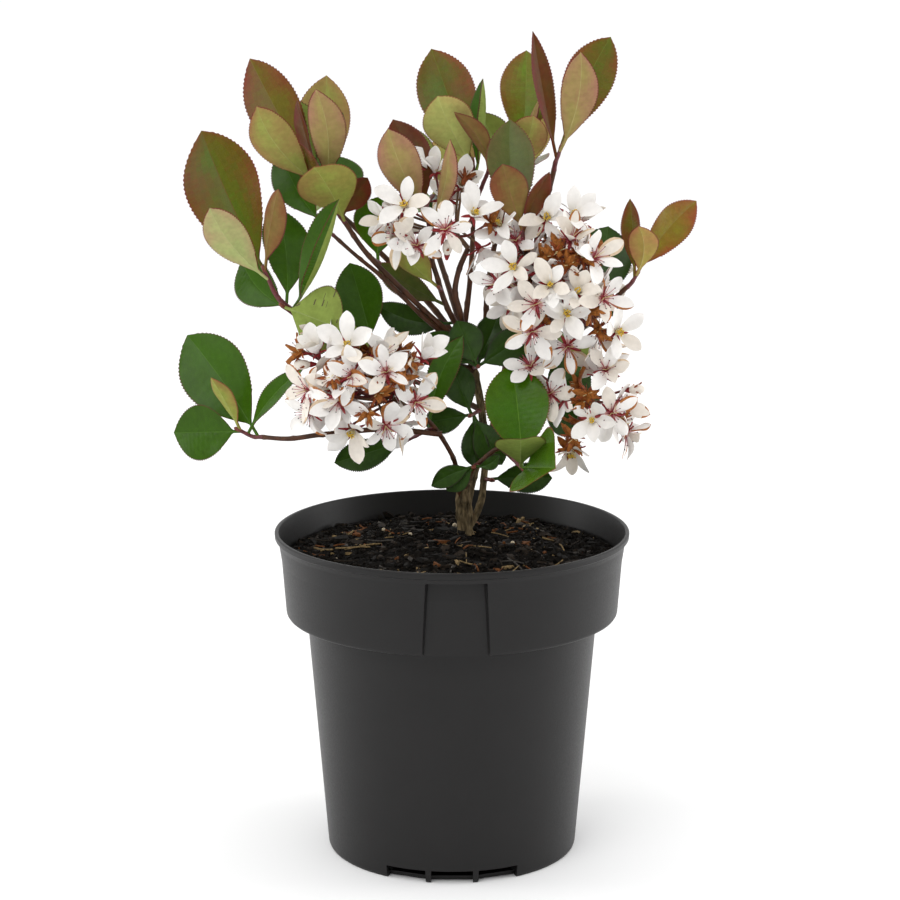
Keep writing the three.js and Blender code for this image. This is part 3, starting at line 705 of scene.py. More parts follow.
@dataclass
class Pot:
    """The round nursery pot: a tapered body with a deep band, a recessed panel and drain slots."""

    height: float = 166
    rim: float = 90
    throat: float = 86.4
    band_foot: float = 84.9
    band_drop: float = 43
    shoulder: float = 74
    foot: float = 64
    wall: float = 2.4
    lip: float = 2
    bead: float = 3
    neck: float = 15
    floor: float = 2.4
    ring: float = 4
    hollow: float = 0.5
    panel_width: float = 28.8
    panel_flare: float = 6.0
    panel_drop: float = 6
    panel_deep: float = 2.7
    panel_turn: float = 1.35
    panel_brink: Pair = (-0.6, 0.35)
    panel_ledge: float = 0.3
    panel_back: float = 1.5
    panel_soft: float = 3.0
    crease: tuple[float, ...] = (-0.9, -0.6, -0.35, -0.1, 0.1, 0.35, 0.6)
    crease_clear: float = 1.2
    sides: int = 300
    slot_width: float = 20.8
    slot_height: float = 6.5
    slot_pitch: float = 21.2
    slots: int = 3
    slot_groups: int = 3
    sharp: float = math.radians(38)
    plastic: Finish = Finish(
        "pot_plastic", "1b1a1a", darker=0.9, patch=24, grain=0.9, relief=0.03,
        rough=(0.38, 0.48), sheen=0.25,
    )

    def build(self) -> None:
        """Make the pot's shell and cut its drain slots."""
        pile = Pile("pot_shell")
        pile.add(self.shell(), self.plastic)
        piece = pile.finish("pot", "pot", sharp=self.sharp)
        self.cut(piece)

    def outline(self) -> list[Pair]:
        """Trace the wall from the middle of the underside, over the rim, to the middle of the floor.

        Returns:
            Points out and up.
        """
        top = self.height
        band = top - self.band_drop
        brim = self.rim - self.lip
        corners = [
            (1, self.hollow, 0),
            (self.foot - self.ring, self.hollow, 0.5),
            (self.foot - self.ring + 0.5, 0, 0.3),
            (self.foot - 0.6, 0, 1.0),
            (self.foot, 1.6, 0.8),
            (self.shoulder, band, 1.4),
            (self.band_foot - 0.6, band, 2.2),
            (self.throat, top - self.neck, 8),
            (self.rim - 2.2, top - 2 * self.bead, 4),
            (self.rim - 1.3, top - self.bead - 0.6, 0.5),
            (self.rim - 0.2, top - self.bead, 0.6),
            (self.rim, top - 0.1, 0.9),
            (brim, top, 0.9),
            (brim - 1.2, top - 4.4, 0),
            (brim - 1.5, top - 5.4, 0),
            (brim - 2.2, top - 8, 0),
            (self.throat - self.wall + 0.4, top - 13, 5),
            (self.band_foot - self.wall, band + self.wall, 2),
            (self.shoulder - self.wall, band + self.wall, 2),
            (self.foot - self.wall, self.floor, 2),
            (1, self.floor, 0),
        ]
        ledge = top - self.panel_drop
        edges = [ledge + self.panel_ledge * k for k in (-3, -1, -1 / 3, 1 / 3, 1)]
        return self.with_heights(filleted(corners), [*edges, band + 6, band + 14, band + 22])

    @staticmethod
    def with_heights(outline: list[Pair], heights: list[float]) -> list[Pair]:
        """Add a point to the outer wall at each of some heights.

        Args:
            outline: The outline, whose outer wall comes first.
            heights: Where the wall gets a point.

        Returns:
            The outline with the new points.
        """
        full = []
        rising = True
        for (r0, z0), (r1, z1) in zip(outline, outline[1:]):
            full.append((r0, z0))
            rising = rising and z1 > z0 - 0.5
            for z in sorted(heights):
                if rising and z0 < z < z1:
                    full.append((r0 + (r1 - r0) * (z - z0) / (z1 - z0), z))
        full.append(outline[-1])
        return full

    def shell(self) -> Body:
        """Turn the outline round, and sink the panel into the band.

        Returns:
            The closed body.
        """
        half = self.panel_width / 2 / self.throat
        start, stop = (half + offset / self.throat for offset in self.panel_brink)
        edges = [half + offset / self.throat for offset in self.crease]
        even = np.linspace(-math.pi, math.pi, self.sides, endpoint=False)
        even = even[np.abs(np.abs(even) - half) > self.crease_clear / self.throat]
        angles = np.unique(np.round(np.concatenate([even, edges, [-e for e in edges]]), 5))
        aside = np.abs(angles)
        front = 1 - eased(aside, start, stop)
        back = 1 - eased(aside, half, half + self.panel_soft / self.throat)
        band = self.height - self.band_drop
        outline = self.outline()
        top = max(range(len(outline)), key=lambda i: outline[i][1])
        rings = []
        for i, (out, up) in enumerate(outline):
            radius = np.full(len(angles), out)
            placed = angles
            if i <= top and up >= band - 0.01 and out > self.shoulder + 1:
                radius = self.sunk(radius, up, front, 0)
                drop = max(0, self.height - self.panel_drop - up) / (self.band_drop - self.panel_drop)
                flare = self.panel_flare / self.panel_width * drop
                placed = angles * (1 + flare * np.clip(1.8 - aside / half, 0, 1))
            elif i > top and up > band + self.wall + 1:
                radius = self.sunk(radius, up, back, self.panel_back)
            turn = placed + math.radians(self.panel_turn)
            ring = (radius * np.sin(turn), -radius * np.cos(turn), np.full(len(angles), up))
            rings.append(np.stack(ring, -1))
        return sleeve(np.array(rings))

    def sunk(self, radius: Array, up: float, across: Array, behind: float) -> Array:
        """Sink one ring of the band's wall where the panel is.

        Args:
            radius: The wall's radius at each place round it.
            up: The ring's height.
            across: How far each place is within the panel, from 0 to 1.
            behind: How far the surface lies behind the panel's floor.

        Returns:
            The new radius at each place.
        """
        brink = self.height - self.panel_drop + (1.0 if behind else 0.0)
        high = 1 - eased(np.array([up]), brink - self.panel_ledge, brink + self.panel_ledge)
        levels = (self.height - self.band_drop, self.height - self.neck)
        floor = np.interp(up, levels, (self.band_foot, self.throat)) - self.panel_deep - behind
        return radius + (np.minimum(radius, floor) - radius) * across * high

    def cut(self, piece: bpy.types.Object) -> None:
        """Cut the drain slots through the foot of the wall.

        Args:
            piece: The pot's shell.
        """
        pile = Pile("slot_cutter")
        inward, outward, sink = 5.0, 9.0, 3.0
        for k in range(self.slots * self.slot_groups):
            place = k % self.slots - (self.slots - 1) / 2
            turn = 360 / self.slot_groups * (k // self.slots) + self.slot_pitch * place
            half = self.slot_width / 2
            section = [(-half, -sink), (half, -sink), (half, self.slot_height), (-half, self.slot_height)]
            rings = [[(x, -self.foot + y, z) for x, z in section] for y in (-outward, inward)]
            points = np.array([[turned(np.array(p), UP, turn) for p in ring] for ring in rings])
            pile.add(sleeve(points), self.plastic)
        cutter = pile.joined()
        cut = piece.modifiers.new("slots", "BOOLEAN")
        cut.operation, cut.solver, cut.object = "DIFFERENCE", "EXACT", cutter
        depsgraph = bpy.context.evaluated_depsgraph_get()
        done = bpy.data.meshes.new_from_object(piece.evaluated_get(depsgraph))
        piece.modifiers.clear()
        piece.data = done
        bpy.data.objects.remove(cutter)
        done.shade_smooth()
        done.set_sharp_from_angle(angle=self.sharp)


def chip(name: str, tint: str, darker: float = 0.5, dullest: float = 0.9, sheen: float = 0.15) -> Finish:
    """Give the finish of one kind of bark chip."""
    return Finish(name, tint, darker=darker, patch=1.5, relief=0.2, rough=(0.7, dullest), sheen=sheen)


@dataclass
class PottingMix:
    """The dark potting mix: a lumpy mound with chips of bark, crumbs, pale beads and needles on it."""

    edge: float = 153
    crown: float = 159.5
    flat: float = 26
    reach: float = 82.6
    deep: float = 14
    lump: float = 2.0
    around: int = 230
    rows: int = 92
    chips: int = 1500
    chip_corners: int = 6
    chip_size: float = 1.6
    chip_spread: float = 0.62
    chip_least: float = 0.6
    chip_most: float = 7.5
    crumbs: int = 3200
    crumb_size: float = 0.55
    crumb_spread: float = 0.5
    crumb_most: float = 2.2
    beads: int = 9
    needles: int = 90
    seed: int = 31
    earth: Finish = Finish(
        "mix_earth", "100d0a", darker=0.5, patch=2.2, grain=0.5, relief=0.5, rough=(0.85, 1.0), sheen=0.1
    )
    kinds: tuple[tuple[Finish, float], ...] = (
        (chip("chip_black", "15120f", dullest=0.95, sheen=0.12), 0.62),
        (chip("chip_brown", "2a221a"), 0.25),
        (chip("chip_rust", "6a4020"), 0.03),
        (chip("chip_tan", "8a7450"), 0.05),
        (chip("chip_grey", "4c4844", darker=0.6), 0.05),
    )
    crumb: Finish = Finish(
        "mix_crumb", "181410", darker=0.45, patch=1.6, relief=0.3, rough=(0.8, 1.0), sheen=0.1
    )
    bead: Finish = Finish("mix_bead", "b9a98c", darker=0.85, patch=1.0, rough=(0.4, 0.6))

    def build(self) -> None:
        """Make the mound and strew what lies on it."""
        mound = Pile("mix_mound")
        mound.add(self.mound(), self.earth)
        mound.finish("soil", "soil")
        litter = Pile("mix_litter")
        draw = np.random.default_rng(self.seed)
        self.strew_chips(litter, draw)
        self.strew_small(litter, draw)
        litter.finish("soil")

    def level(self, x: float, y: float) -> float:
        """Give the height of the mound's top.

        Args:
            x: How far right the place is.
            y: How far back it is.

        Returns:
            The height.
        """
        base = float(np.interp(math.hypot(x, y), [self.flat, self.reach], [self.crown, self.edge]))
        coarse = noise.noise(Vector((x * 0.07, y * 0.07, 3.1)))
        fine = noise.fractal(Vector((x * 0.35, y * 0.35, 7.7)), 0.8, 2.2, 4)
        return base + self.lump * (0.9 * coarse + 0.75 * fine)

    def mound(self) -> Body:
        """Make the mound's body.

        Returns:
            The closed body, down to its hidden foot.
        """
        angles = np.linspace(0, 2 * math.pi, self.around, endpoint=False)
        rings = []
        tops = [0.5, *np.linspace(1.6, self.reach, self.rows)]
        for number, radius in enumerate([*tops, self.reach - 1, 0.5]):
            spots = [(radius * math.cos(a), radius * math.sin(a)) for a in angles]
            foot = None if number < len(tops) else self.edge - self.deep
            rings.append([(x, y, foot or self.level(x, y)) for x, y in spots])
        return sleeve(np.array(rings))

    def anywhere(self, draw: Random, inset: float) -> Pair:
        """Draw a place on the mound, as likely here as there.

        Args:
            draw: Where it comes from.
            inset: How far from the mound's edge it stays.

        Returns:
            The place.
        """
        radius = (self.reach - inset) * math.sqrt(draw.random())
        around = 2 * math.pi * draw.random()
        return radius * math.cos(around), radius * math.sin(around)

    def strew_chips(self, litter: Pile, draw: Random) -> None:
        """Strew flat, uneven chips of bark.

        Args:
            litter: The pile they go on.
            draw: Their source of chance.
        """
        finishes = [finish for finish, _ in self.kinds]
        shares = np.array([share for _, share in self.kinds])
        for _ in range(self.chips):
            x, y = self.anywhere(draw, 3)
            length = self.chip_size * math.exp(self.chip_spread * draw.standard_normal())
            length = min(length + self.chip_least, self.chip_most)
            width = length * draw.uniform(0.28, 0.7)
            thick = draw.uniform(0.3, 0.5) + 0.08 * length
            rings = self.flake(length, width, thick, draw)
            tilt, yaw = draw.normal(0, 16), draw.uniform(0, 360)
            basis = [turned(turned(v, np.array([1.0, 0, 0]), tilt), UP, yaw) for v in np.eye(3)]
            spot = np.array([x, y, self.level(x, y) + 0.35 * thick])
            kind = finishes[draw.choice(len(finishes), p=shares)]
            litter.add(sleeve(rings @ np.array(basis) + spot), kind)

    def flake(self, length: float, width: float, thick: float, draw: Random) -> Array:
        """Lay out a chip's lower and upper outline.

        Args:
            length: Half its length.
            width: Half its width.
            thick: Half its thickness.
            draw: Its source of chance.

        Returns:
            The two rings of points.
        """
        corners = self.chip_corners
        spread = np.sort(draw.uniform(0, 2 * math.pi, corners))
        ring = np.stack([np.cos(spread) * length, np.sin(spread) * width], -1)
        ring = ring * draw.uniform(0.75, 1.1, (corners, 1))
        rings = np.zeros((2, corners, 3))
        rings[0, :, :2] = ring
        rings[1, :, :2] = ring * draw.uniform(0.7, 0.95)
        rings[0, :, 2] = -thick
        rings[1, :, 2] = thick * draw.uniform(0.6, 1.2, corners)
        return rings

    def strew_small(self, litter: Pile, draw: Random) -> None:
        """Strew crumbs, round beads, needles and bits of twig.

        Args:
            litter: The pile they go on.
            draw: Their source of chance.
        """
        for _ in range(self.crumbs):
            x, y = self.anywhere(draw, 1.5)
            size = self.crumb_size * math.exp(self.crumb_spread * draw.standard_normal())
            size = min(size, self.crumb_most)
            spot = np.array([x, y, self.level(x, y) + size * 0.4])
            way = unit(draw.normal(0, 1, 3))
            litter.add(egg(spot, way, size * draw.uniform(1, 1.7), size, 4, 5), self.crumb)
        for _ in range(self.beads):
            x, y = self.anywhere(draw, 5)
            size = draw.uniform(0.9, 1.5)
            litter.add(egg(np.array([x, y, self.level(x, y) + size * 0.6]), UP, size, size), self.bead)
        straws = [finish for finish, _ in self.kinds[1:]]
        for _ in range(self.needles):
            x, y = self.anywhere(draw, 12)
            heading, half = draw.uniform(0, 2 * math.pi), draw.uniform(3, 7.5)
            step = np.array([math.cos(heading), math.sin(heading)]) * half
            ends = [np.array([x, y]) + step * k for k in (-1, 0, 1)]
            lift = draw.uniform(0.6, 1.6)
            points = [np.array([*end, self.level(*end) + lift]) for end in ends]
            size = draw.uniform(0.25, 0.6)
            litter.add(Route(points, (size, size * 0.8)).tube(6, 5), straws[draw.integers(len(straws))])


def egg(place: Array, along: Array, half: float, radius: float, rows: int = 6, around: int = 8) -> Body:
    """Make an egg-shaped body, such as a bead, an anther or a bud.

    Args:
        place: Its middle.
        along: The way that its long axis points.
        half: Half its length.
        radius: Its radius at the middle.
        rows: How many rings it has.
        around: How many points go round it.

    Returns:
        The closed body.
    """
    side = unit(np.cross(along, [0.31, 0.17, 0.93]))
    over = np.cross(along, side)
    bow = np.linspace(0.08, math.pi - 0.08, rows)
    angles = np.linspace(0, 2 * math.pi, around, endpoint=False)
    spokes = np.outer(np.cos(angles), side) + np.outer(np.sin(angles), over)
    middles = place - along * (np.cos(bow) * half)[:, None, None]
    return sleeve(middles + spokes * (np.sin(bow) * radius)[:, None, None])


# The wood


@dataclass(frozen=True)
class Limb:
    """One tapering limb: its radius at foot and tip, and its route from the wood that carries it."""

    name: str
    thick: float
    thin: float
    points: tuple[Triple, ...]

    def route(self) -> Route:
        """Lay the limb's route."""
        return Route([np.array(p, float) for p in self.points], (self.thick, self.thin))


# The old leader with its cut stub, and the one that grew on beside it: places with their radii
STUB = (
    (6.9, 14, 159.8, 4.4), (6.7, 14, 163.5, 3.4), (6.2, 13.6, 172, 4), (6, 13, 181, 3.4),
    (7.3, 12.5, 187, 2.3),
)
LEADER = (
    (7.2, 14.5, 172, 1.9), (9.5, 16, 182.4, 1.8), (12.8, 17.5, 196.2, 1.8), (15.9, 18, 206, 1.8),
    (14.8, 18, 226, 1.8), (6.1, 13, 266, 1.8),
)
LIMBS = (
    Limb("stem_right", 1.8, 1.5, (
        (8.5, 15.5, 163), (11.3, 17, 167), (14.9, 20, 175), (16.1, 22, 182.6), (17.2, 24, 196),
        (18.8, 24.3, 206.4), (22.5, 23, 217.5), (29.6, 20, 228.6), (39.5, 14, 245.3), (47, 8, 259),
    )),
    Limb("bough_low_middle", 1.3, 1.1, (
        (5, 13, 178), (2.4, 8, 190), (1.6, 3, 199), (-0.9, -1, 206), (-9.5, -9, 221.2),
        (-16, -16, 228.5),
    )),
    Limb("bough_front", 1.3, 1.1, (
        (6, 12.6, 182), (10.1, 5, 195.5), (14.1, 0, 200.3), (23.3, -8, 209.3), (27, -13.5, 208.5),
        (30, -16, 206),
    )),
    Limb("bough_far_left", 2.0, 1.6, (
        (11, 16, 245), (-11, 11, 250), (-36, 5, 254), (-62, 0, 262), (-78, -4, 277.3))),
    Limb("bough_left", 1.5, 1.2, (
        (5, 12.5, 259.5), (-2.5, 11, 265.8), (-23.7, 8, 286.1), (-43.4, 5, 307), (-53, 4, 321.2),
    )),
    Limb("bough_left_twin", 1.2, 0.9, (
        (4.8, 13, 256), (-14.1, 8.5, 273), (-24.8, 6.5, 283.9), (-36.4, 4.5, 295.4),
        (-46.3, 2, 304), (-58.5, -1, 315.5),
    )),
    Limb("bough_low_left", 1.4, 1.1, (
        (-5, -10, 217), (-33, -10, 219.5), (-66, -9.5, 216.6), (-82, -8, 214.3), (-95, -6, 214.7),
    )),
    Limb("bough_middle", 1.5, 1.2, (
        (5.8, 12.5, 264), (0.4, 11, 272), (-4.5, 8, 283.5), (-7.6, 5, 294.6), (-9.8, 3, 302.4),
        (-10.9, 0, 315.2),
    )),
    Limb("bough_middle_blossom", 1.5, 1.3, (
        (6.5, 13, 262), (4, 7, 276), (1.5, 4, 287), (3.5, 2, 298), (8, 1.5, 309),
    )),
    Limb("bough_top", 1.5, 1.1, ((6.1, 13, 265.5), (8.5, 16, 285), (10, 17.5, 304), (11, 18, 336))),
    Limb("bough_top_right", 1.6, 1.1, (
        (11, 16, 247), (16.5, 22, 264), (18, 24, 285), (23.2, 24, 315), (30.1, 22, 338))),
    Limb("bough_right_inner", 1.5, 1.2, (
        (39, 14, 244.5), (42, 5, 262), (39, -2, 282), (37.5, -8, 299), (35.5, -12, 312))),
    Limb("bough_right", 1.6, 1.3, (
        (33, 18, 235), (36, 22, 259), (39, 24, 290), (44, 21, 316), (47.6, 18, 332),
        (50.8, 14, 346.5),
    )),
    Limb("bough_far_right", 1.5, 1.2, (
        (38, 14.7, 243), (52, 17, 253), (66, 17, 266), (80, 14, 280), (88, 12, 288))),
    Limb("bough_low_right", 1.4, 1.1, ((26, 21.5, 223), (36, 17, 229), (49, 11, 233), (60, 5, 236))),
    Limb("bough_back_left", 1.7, 1.2, ((10, 16, 250), (-10, 30, 275), (-40, 40, 305), (-58, 44, 322))),
    Limb("bough_back_middle", 1.6, 1.2, ((7, 14, 259), (-1, 30, 283), (-8, 46, 303), (-11, 52, 315))),
    Limb("bough_back_right", 1.7, 1.2, (
        (20.3, 24, 211), (27, 36, 240), (33, 50, 285), (35, 56, 318),
    )),
    Limb("bough_back_low_left", 1.6, 1.2, ((14.5, 18.5, 224), (-5, 32, 231), (-25, 42, 236))),
    Limb("bough_back_low_right", 1.6, 1.2, (
        (18.2, 24.3, 203), (38, 40, 212), (56, 48, 222),
    )),
    Limb("bough_back_blossom", 1.6, 1.2, ((29, 20.5, 227), (42, 36, 255), (52, 46, 274))),
)


@dataclass
class Wood:
    """The trunk with its cut stub and leader, and the boughs that rise from it."""

    trunk_rows: int = 70
    trunk_sides: int = 48
    limb_sides: int = 18
    step: float = 1.2
    bark: Finish = Finish(
        "trunk_bark", "7a6a4e", darker=0.3, patch=1.8, grain=0.8, relief=0.5,
        rough=(0.75, 0.95), stretch=(1.0, 1.0, 0.3), sheen=0.15,
    )
    rind: Finish = Finish(
        "bough_rind", "563420", darker=0.5, patch=3.0, grain=0.5, relief=0.12,
        rough=(0.42, 0.6), stretch=(1.0, 1.0, 0.4), sheen=0.3,
    )
    routes: dict[str, Route] = field(default_factory=dict)

    def build(self) -> None:
        """Make the trunk and the boughs."""
        trunk = Pile("trunk_bark")
        for seed, ridge, stations in ((41, 0.5, STUB), (42, 0.3, LEADER)):
            route = Route([np.array(s[:3], float) for s in stations], tuple(s[3] for s in stations))
            rough = Relief(ridge, (4, 7, 11, 15), wander=5, scar=0.6, scar_gap=9, seed=seed)
            trunk.add(route.tube(self.trunk_rows, self.trunk_sides, rough), self.bark)
        self.routes["trunk"] = route
        boughs = Pile("bough_bark")
        for number, limb in enumerate(LIMBS):
            route = limb.route()
            self.routes[limb.name] = route
            stem = limb.name.startswith("stem")
            ridge = 0.2 if stem else 0.07
            rough = Relief(ridge, scar=0.34, scar_gap=13 + number % 4, seed=50 + number)
            length = sum(math.dist(a, b) for a, b in zip(limb.points, limb.points[1:]))
            body = route.tube(round(length / self.step), self.limb_sides, rough)
            (trunk if stem else boughs).add(body, self.bark if stem else self.rind)
        trunk.finish("bark", "trunk", "stem_right")
        boughs.finish("twig", *(limb.name for limb in LIMBS if limb.name.startswith("bough")))


# Leaves


@dataclass(frozen=True)
class Tints:
    """The tints of a leaf: from rib to edge above and below, its rib above and below, its margin."""

    above: tuple[str, str]
    below: tuple[str, str]
    ribs: tuple[str, str]
    margin: str
    gloss: Pair = (0.2, 0.34)


class Tone(Enum):
    """How ripe a leaf is, from the bronze of a new one to the deep green of an old one. Two tones also
    carry painted light: the pale one's lighter underside stands in for light through the thin leaf, and the
    mossy one's lighter upper side holds a painted sheen.
    """

    DEEP = Tints(("34501a", "2a4016"), ("5f7434", "5a6c34"), ("3c5a28", "7a8c48"), "2a2412", (0.17, 0.28))
    GREEN = Tints(("3c6010", "385812"), ("86984a", "808c44"), ("557a2c", "9aa868"), "54341a", (0.18, 0.3))
    FRESH = Tints(("3f6a0a", "446408"), ("8c9a44", "8a8842"), ("6d9436", "a4ac5c"), "6a4020", (0.2, 0.32))
    LIME = Tints(("466c14", "4f6a18"), ("929a48", "947c44"), ("7a9c48", "a8b060"), "84482a", (0.22, 0.35))
    PALE_LIT = Tints(("466c14", "4f6a18"), ("b4bc6a", "b2a262"), ("7a9c48", "c0c67c"), "84482a", (0.22, 0.35))
    # A lighter underside than LIME's: partly the underside's own paler green, partly painted light that
    # stands in for light passing through the leaf
    OLIVE = Tints(("4f5e08", "703c16"), ("aeb676", "ba9e78"), ("6a4418", "bcc484"), "702018")
    SUNNY = Tints(("566414", "7a4620"), ("a0a254", "a47c50"), ("6c7c30", "aeb268"), "74241c")
    # A lighter upper side than SUNNY's: partly the leaf's own green, partly a painted highlight, its sheen
    # worked into the tint
    MOSS_SHEEN = Tints(("6a8024", "7c5426"), ("a0a254", "a47c50"), ("7c8c3c", "aeb268"), "74241c")
    BRONZE = Tints(("685f1c", "7a3a26"), ("a29458", "a87a62"), ("787638", "b4ae70"), "681c1c")
    AMBER = Tints(("7e701e", "8a4826"), ("a8984e", "b07a54"), ("867a34", "b4ae70"), "701e1c")
    RUSSET = Tints(("5a3c14", "662418"), ("7e6c3a", "7e4c32"), ("5c3a1c", "8c6440"), "621c1c", (0.3, 0.44))
    GREY = Tints(("56622c", "605a30"), ("a6a252", "a2824e"), ("5a6438", "aeb268"), "6a342a", (0.2, 0.3))


@dataclass(frozen=True)
class Leaf:
    """One leaf of a table: its place on the twig, its aim, its size and how it is bent."""

    along: float
    lean: float
    swing: float
    length: float
    width: float
    tone: Tone = Tone.DEEP
    turn: float = 0
    arch: float = 14
    fold: float = 12
    bow: float = 0
    curl: float = 0.05
    roll: float = 0
    specks: float = 0

    def aim(self) -> Array:
        """Turn the leaf's lean and swing into a direction.

        Returns:
            The way that it points.
        """
        lean, swing = math.radians(self.lean), math.radians(self.swing)
        level = math.cos(swing)
        return np.array([math.sin(lean) * level, -math.sin(swing), math.cos(lean) * level])


@dataclass(frozen=True)
class Shoot:
    """A leafy shoot: the limb that carries it, its twig's run, its leaves, and its foot if not a tip."""

    name: str
    on: str
    run: Triple
    leaves: tuple[Leaf, ...]
    foot: Triple | None = None


@dataclass(frozen=True)
class BackShoot:
    """A shoot that a rule grows: how many leaves, and the middle and half-sizes of its space."""

    place: str
    run: Triple
    count: int
    seed: int
    middle: Triple
    reach: Triple

    @property
    def name(self) -> str:
        """The name of its mass of leaves."""
        return f"leaves_{self.place}"

    @property
    def on(self) -> str:
        """The limb that carries it."""
        return f"bough_{self.place}"


SHOOTS = (
    Shoot("leaves_far_left", "bough_far_left", (-14.5, -2, 21), (
        Leaf(0.1, 21, 16, 64, 24, Tone.GREEN, -52, 6, fold=20, bow=6, roll=118),
        Leaf(0.15, -47, -14, 36, 21, Tone.GREEN, bow=-4),
        Leaf(0.25, -5, -30, 57, 24, Tone.GREEN, 20, fold=8, bow=2),
        Leaf(0.85, -32, 26, 56, 20, Tone.OLIVE, 172, fold=10, bow=3.8),
        Leaf(0.9, -27.5, -22, 86, 39, Tone.OLIVE, -8, 8, fold=6, bow=-1),
        Leaf(1.0, 16, 14, 46, 16, Tone.RUSSET, 138, bow=2.5),
    )),
    Shoot("leaves_left", "bough_left", (-13, 3, 21), (
        Leaf(0.15, 37, -8, 24, 14, Tone.RUSSET, 25, bow=-1),
        Leaf(0.2, -4, -30, 35, 25, Tone.GREEN, 10),
        Leaf(0.02, -23, 34, 44, 29, Tone.LIME, 175, fold=6, bow=-1),
        Leaf(0.6, -32, 6, 33, 15, Tone.BRONZE, -35, fold=22, bow=1),
        Leaf(0.8, -2, 20, 58, 18, Tone.BRONZE, 176, fold=10, bow=-3.8),
        Leaf(0.95, -32, -20, 76, 27, Tone.BRONZE, -6, 8, fold=8, bow=-1),
        Leaf(0.9, -34, 24, 59, 21, Tone.SUNNY, 170, fold=6, bow=5.5),
        Leaf(1.0, -22, -8, 41, 15, Tone.RUSSET, -62, bow=2),
    )),
    Shoot("leaves_left_lower", "bough_left_twin", (-5, 10, 4), (
        Leaf(1.0, -31, -16, 47, 20, Tone.GREEN, bow=-3.4),
    )),
    Shoot("leaves_low_left", "bough_low_left", (-11, -1, 3.5), (
        Leaf(0.2, -38.5, -14, 65, 36, Tone.GREEN, -6, bow=2),
        Leaf(0.7, 35, 8, 44, 12, Tone.GREEN, -45, bow=-2.5),
        Leaf(0.95, -90, 8, 34, 28, Tone.GREEN, 8),
        Leaf(1.0, -20, 14, 34, 11, Tone.LIME, 145),
    )),
    Shoot("leaves_middle", "bough_middle", (-2, 0, 11), (
        Leaf(0.25, 17, 8, 49, 11, Tone.BRONZE, 140, bow=-2),
        Leaf(0.9, -21.5, 16, 53, 20, Tone.BRONZE, 174, fold=8, bow=2),
        Leaf(1.0, -19, -12, 51, 21, Tone.RUSSET, 8, bow=2),
    )),
    Shoot("leaves_top", "bough_top", (-0.5, 0, 13), (
        Leaf(0.5, -1, -6, 50, 16, Tone.GREEN, -56, fold=20, bow=6.5, roll=100),
        # this leaf's pale underside is partly painted light through the leaf
        Leaf(0.9, -25, 24, 48, 25, Tone.PALE_LIT, 176, fold=8, bow=1.5),
        Leaf(1.0, -21, -22, 66, 29, Tone.SUNNY, -4, 8, fold=6),
    )),
    Shoot("leaves_top_right", "bough_top_right", (5, 0, 15), (
        Leaf(0.4, 15, 20, 36, 19, Tone.SUNNY, 184, bow=-1),
        Leaf(1.0, 19, -4, 30, 6, Tone.BRONZE, 120, 4, bow=2),
        # this leaf's light upper side is partly a painted highlight
        Leaf(1.0, 3, -22, 58, 26, Tone.MOSS_SHEEN, fold=8, bow=0.5),
    )),
    Shoot("leaves_right_inner", "bough_right_inner", (-1, -2, 8), (
        Leaf(0.8, 27, 8, 33, 12, Tone.RUSSET, 35, bow=-2.5),
        Leaf(0.9, -16, 22, 42, 18, Tone.RUSSET, 176, fold=8, bow=0.5),
        Leaf(1.0, -6, -16, 57, 24, Tone.GREY, 4, fold=14, bow=-2.5),
    )),
    Shoot("leaves_right", "bough_right", (3, 0, 10), (
        Leaf(0.6, -9, -3, 64, 13, Tone.RUSSET, 42, 6, bow=-1.5),
        Leaf(0.9, 10.5, 14, 55, 18, Tone.BRONZE, 178, fold=8, bow=-3.8),
        Leaf(1.0, 26.5, -17, 66, 25, Tone.SUNNY, 6, fold=8, bow=-2.5),
    )),
    Shoot("leaves_far_right", "bough_far_right", (4.5, 0, 6), (
        Leaf(0.8, -8, -6, 40, 12, Tone.BRONZE, -40, bow=1.7),
        Leaf(0.9, 0, 21, 31, 15, Tone.AMBER, 182, bow=-3.5),
        Leaf(1.0, 43.5, -18, 52, 19, Tone.AMBER, 10, bow=-3),
    )),
    Shoot("leaves_front", "bough_front", (4.7, -6, -3.7), (
        Leaf(0.9, -3, 49, 37, 25, Tone.GREEN, 180),
        Leaf(1.0, 62, 62, 34, 40, Tone.LIME, -64, 6, fold=20),
        Leaf(1.0, -6, -14, 53, 32, Tone.FRESH, fold=8, bow=1),
    )),
)

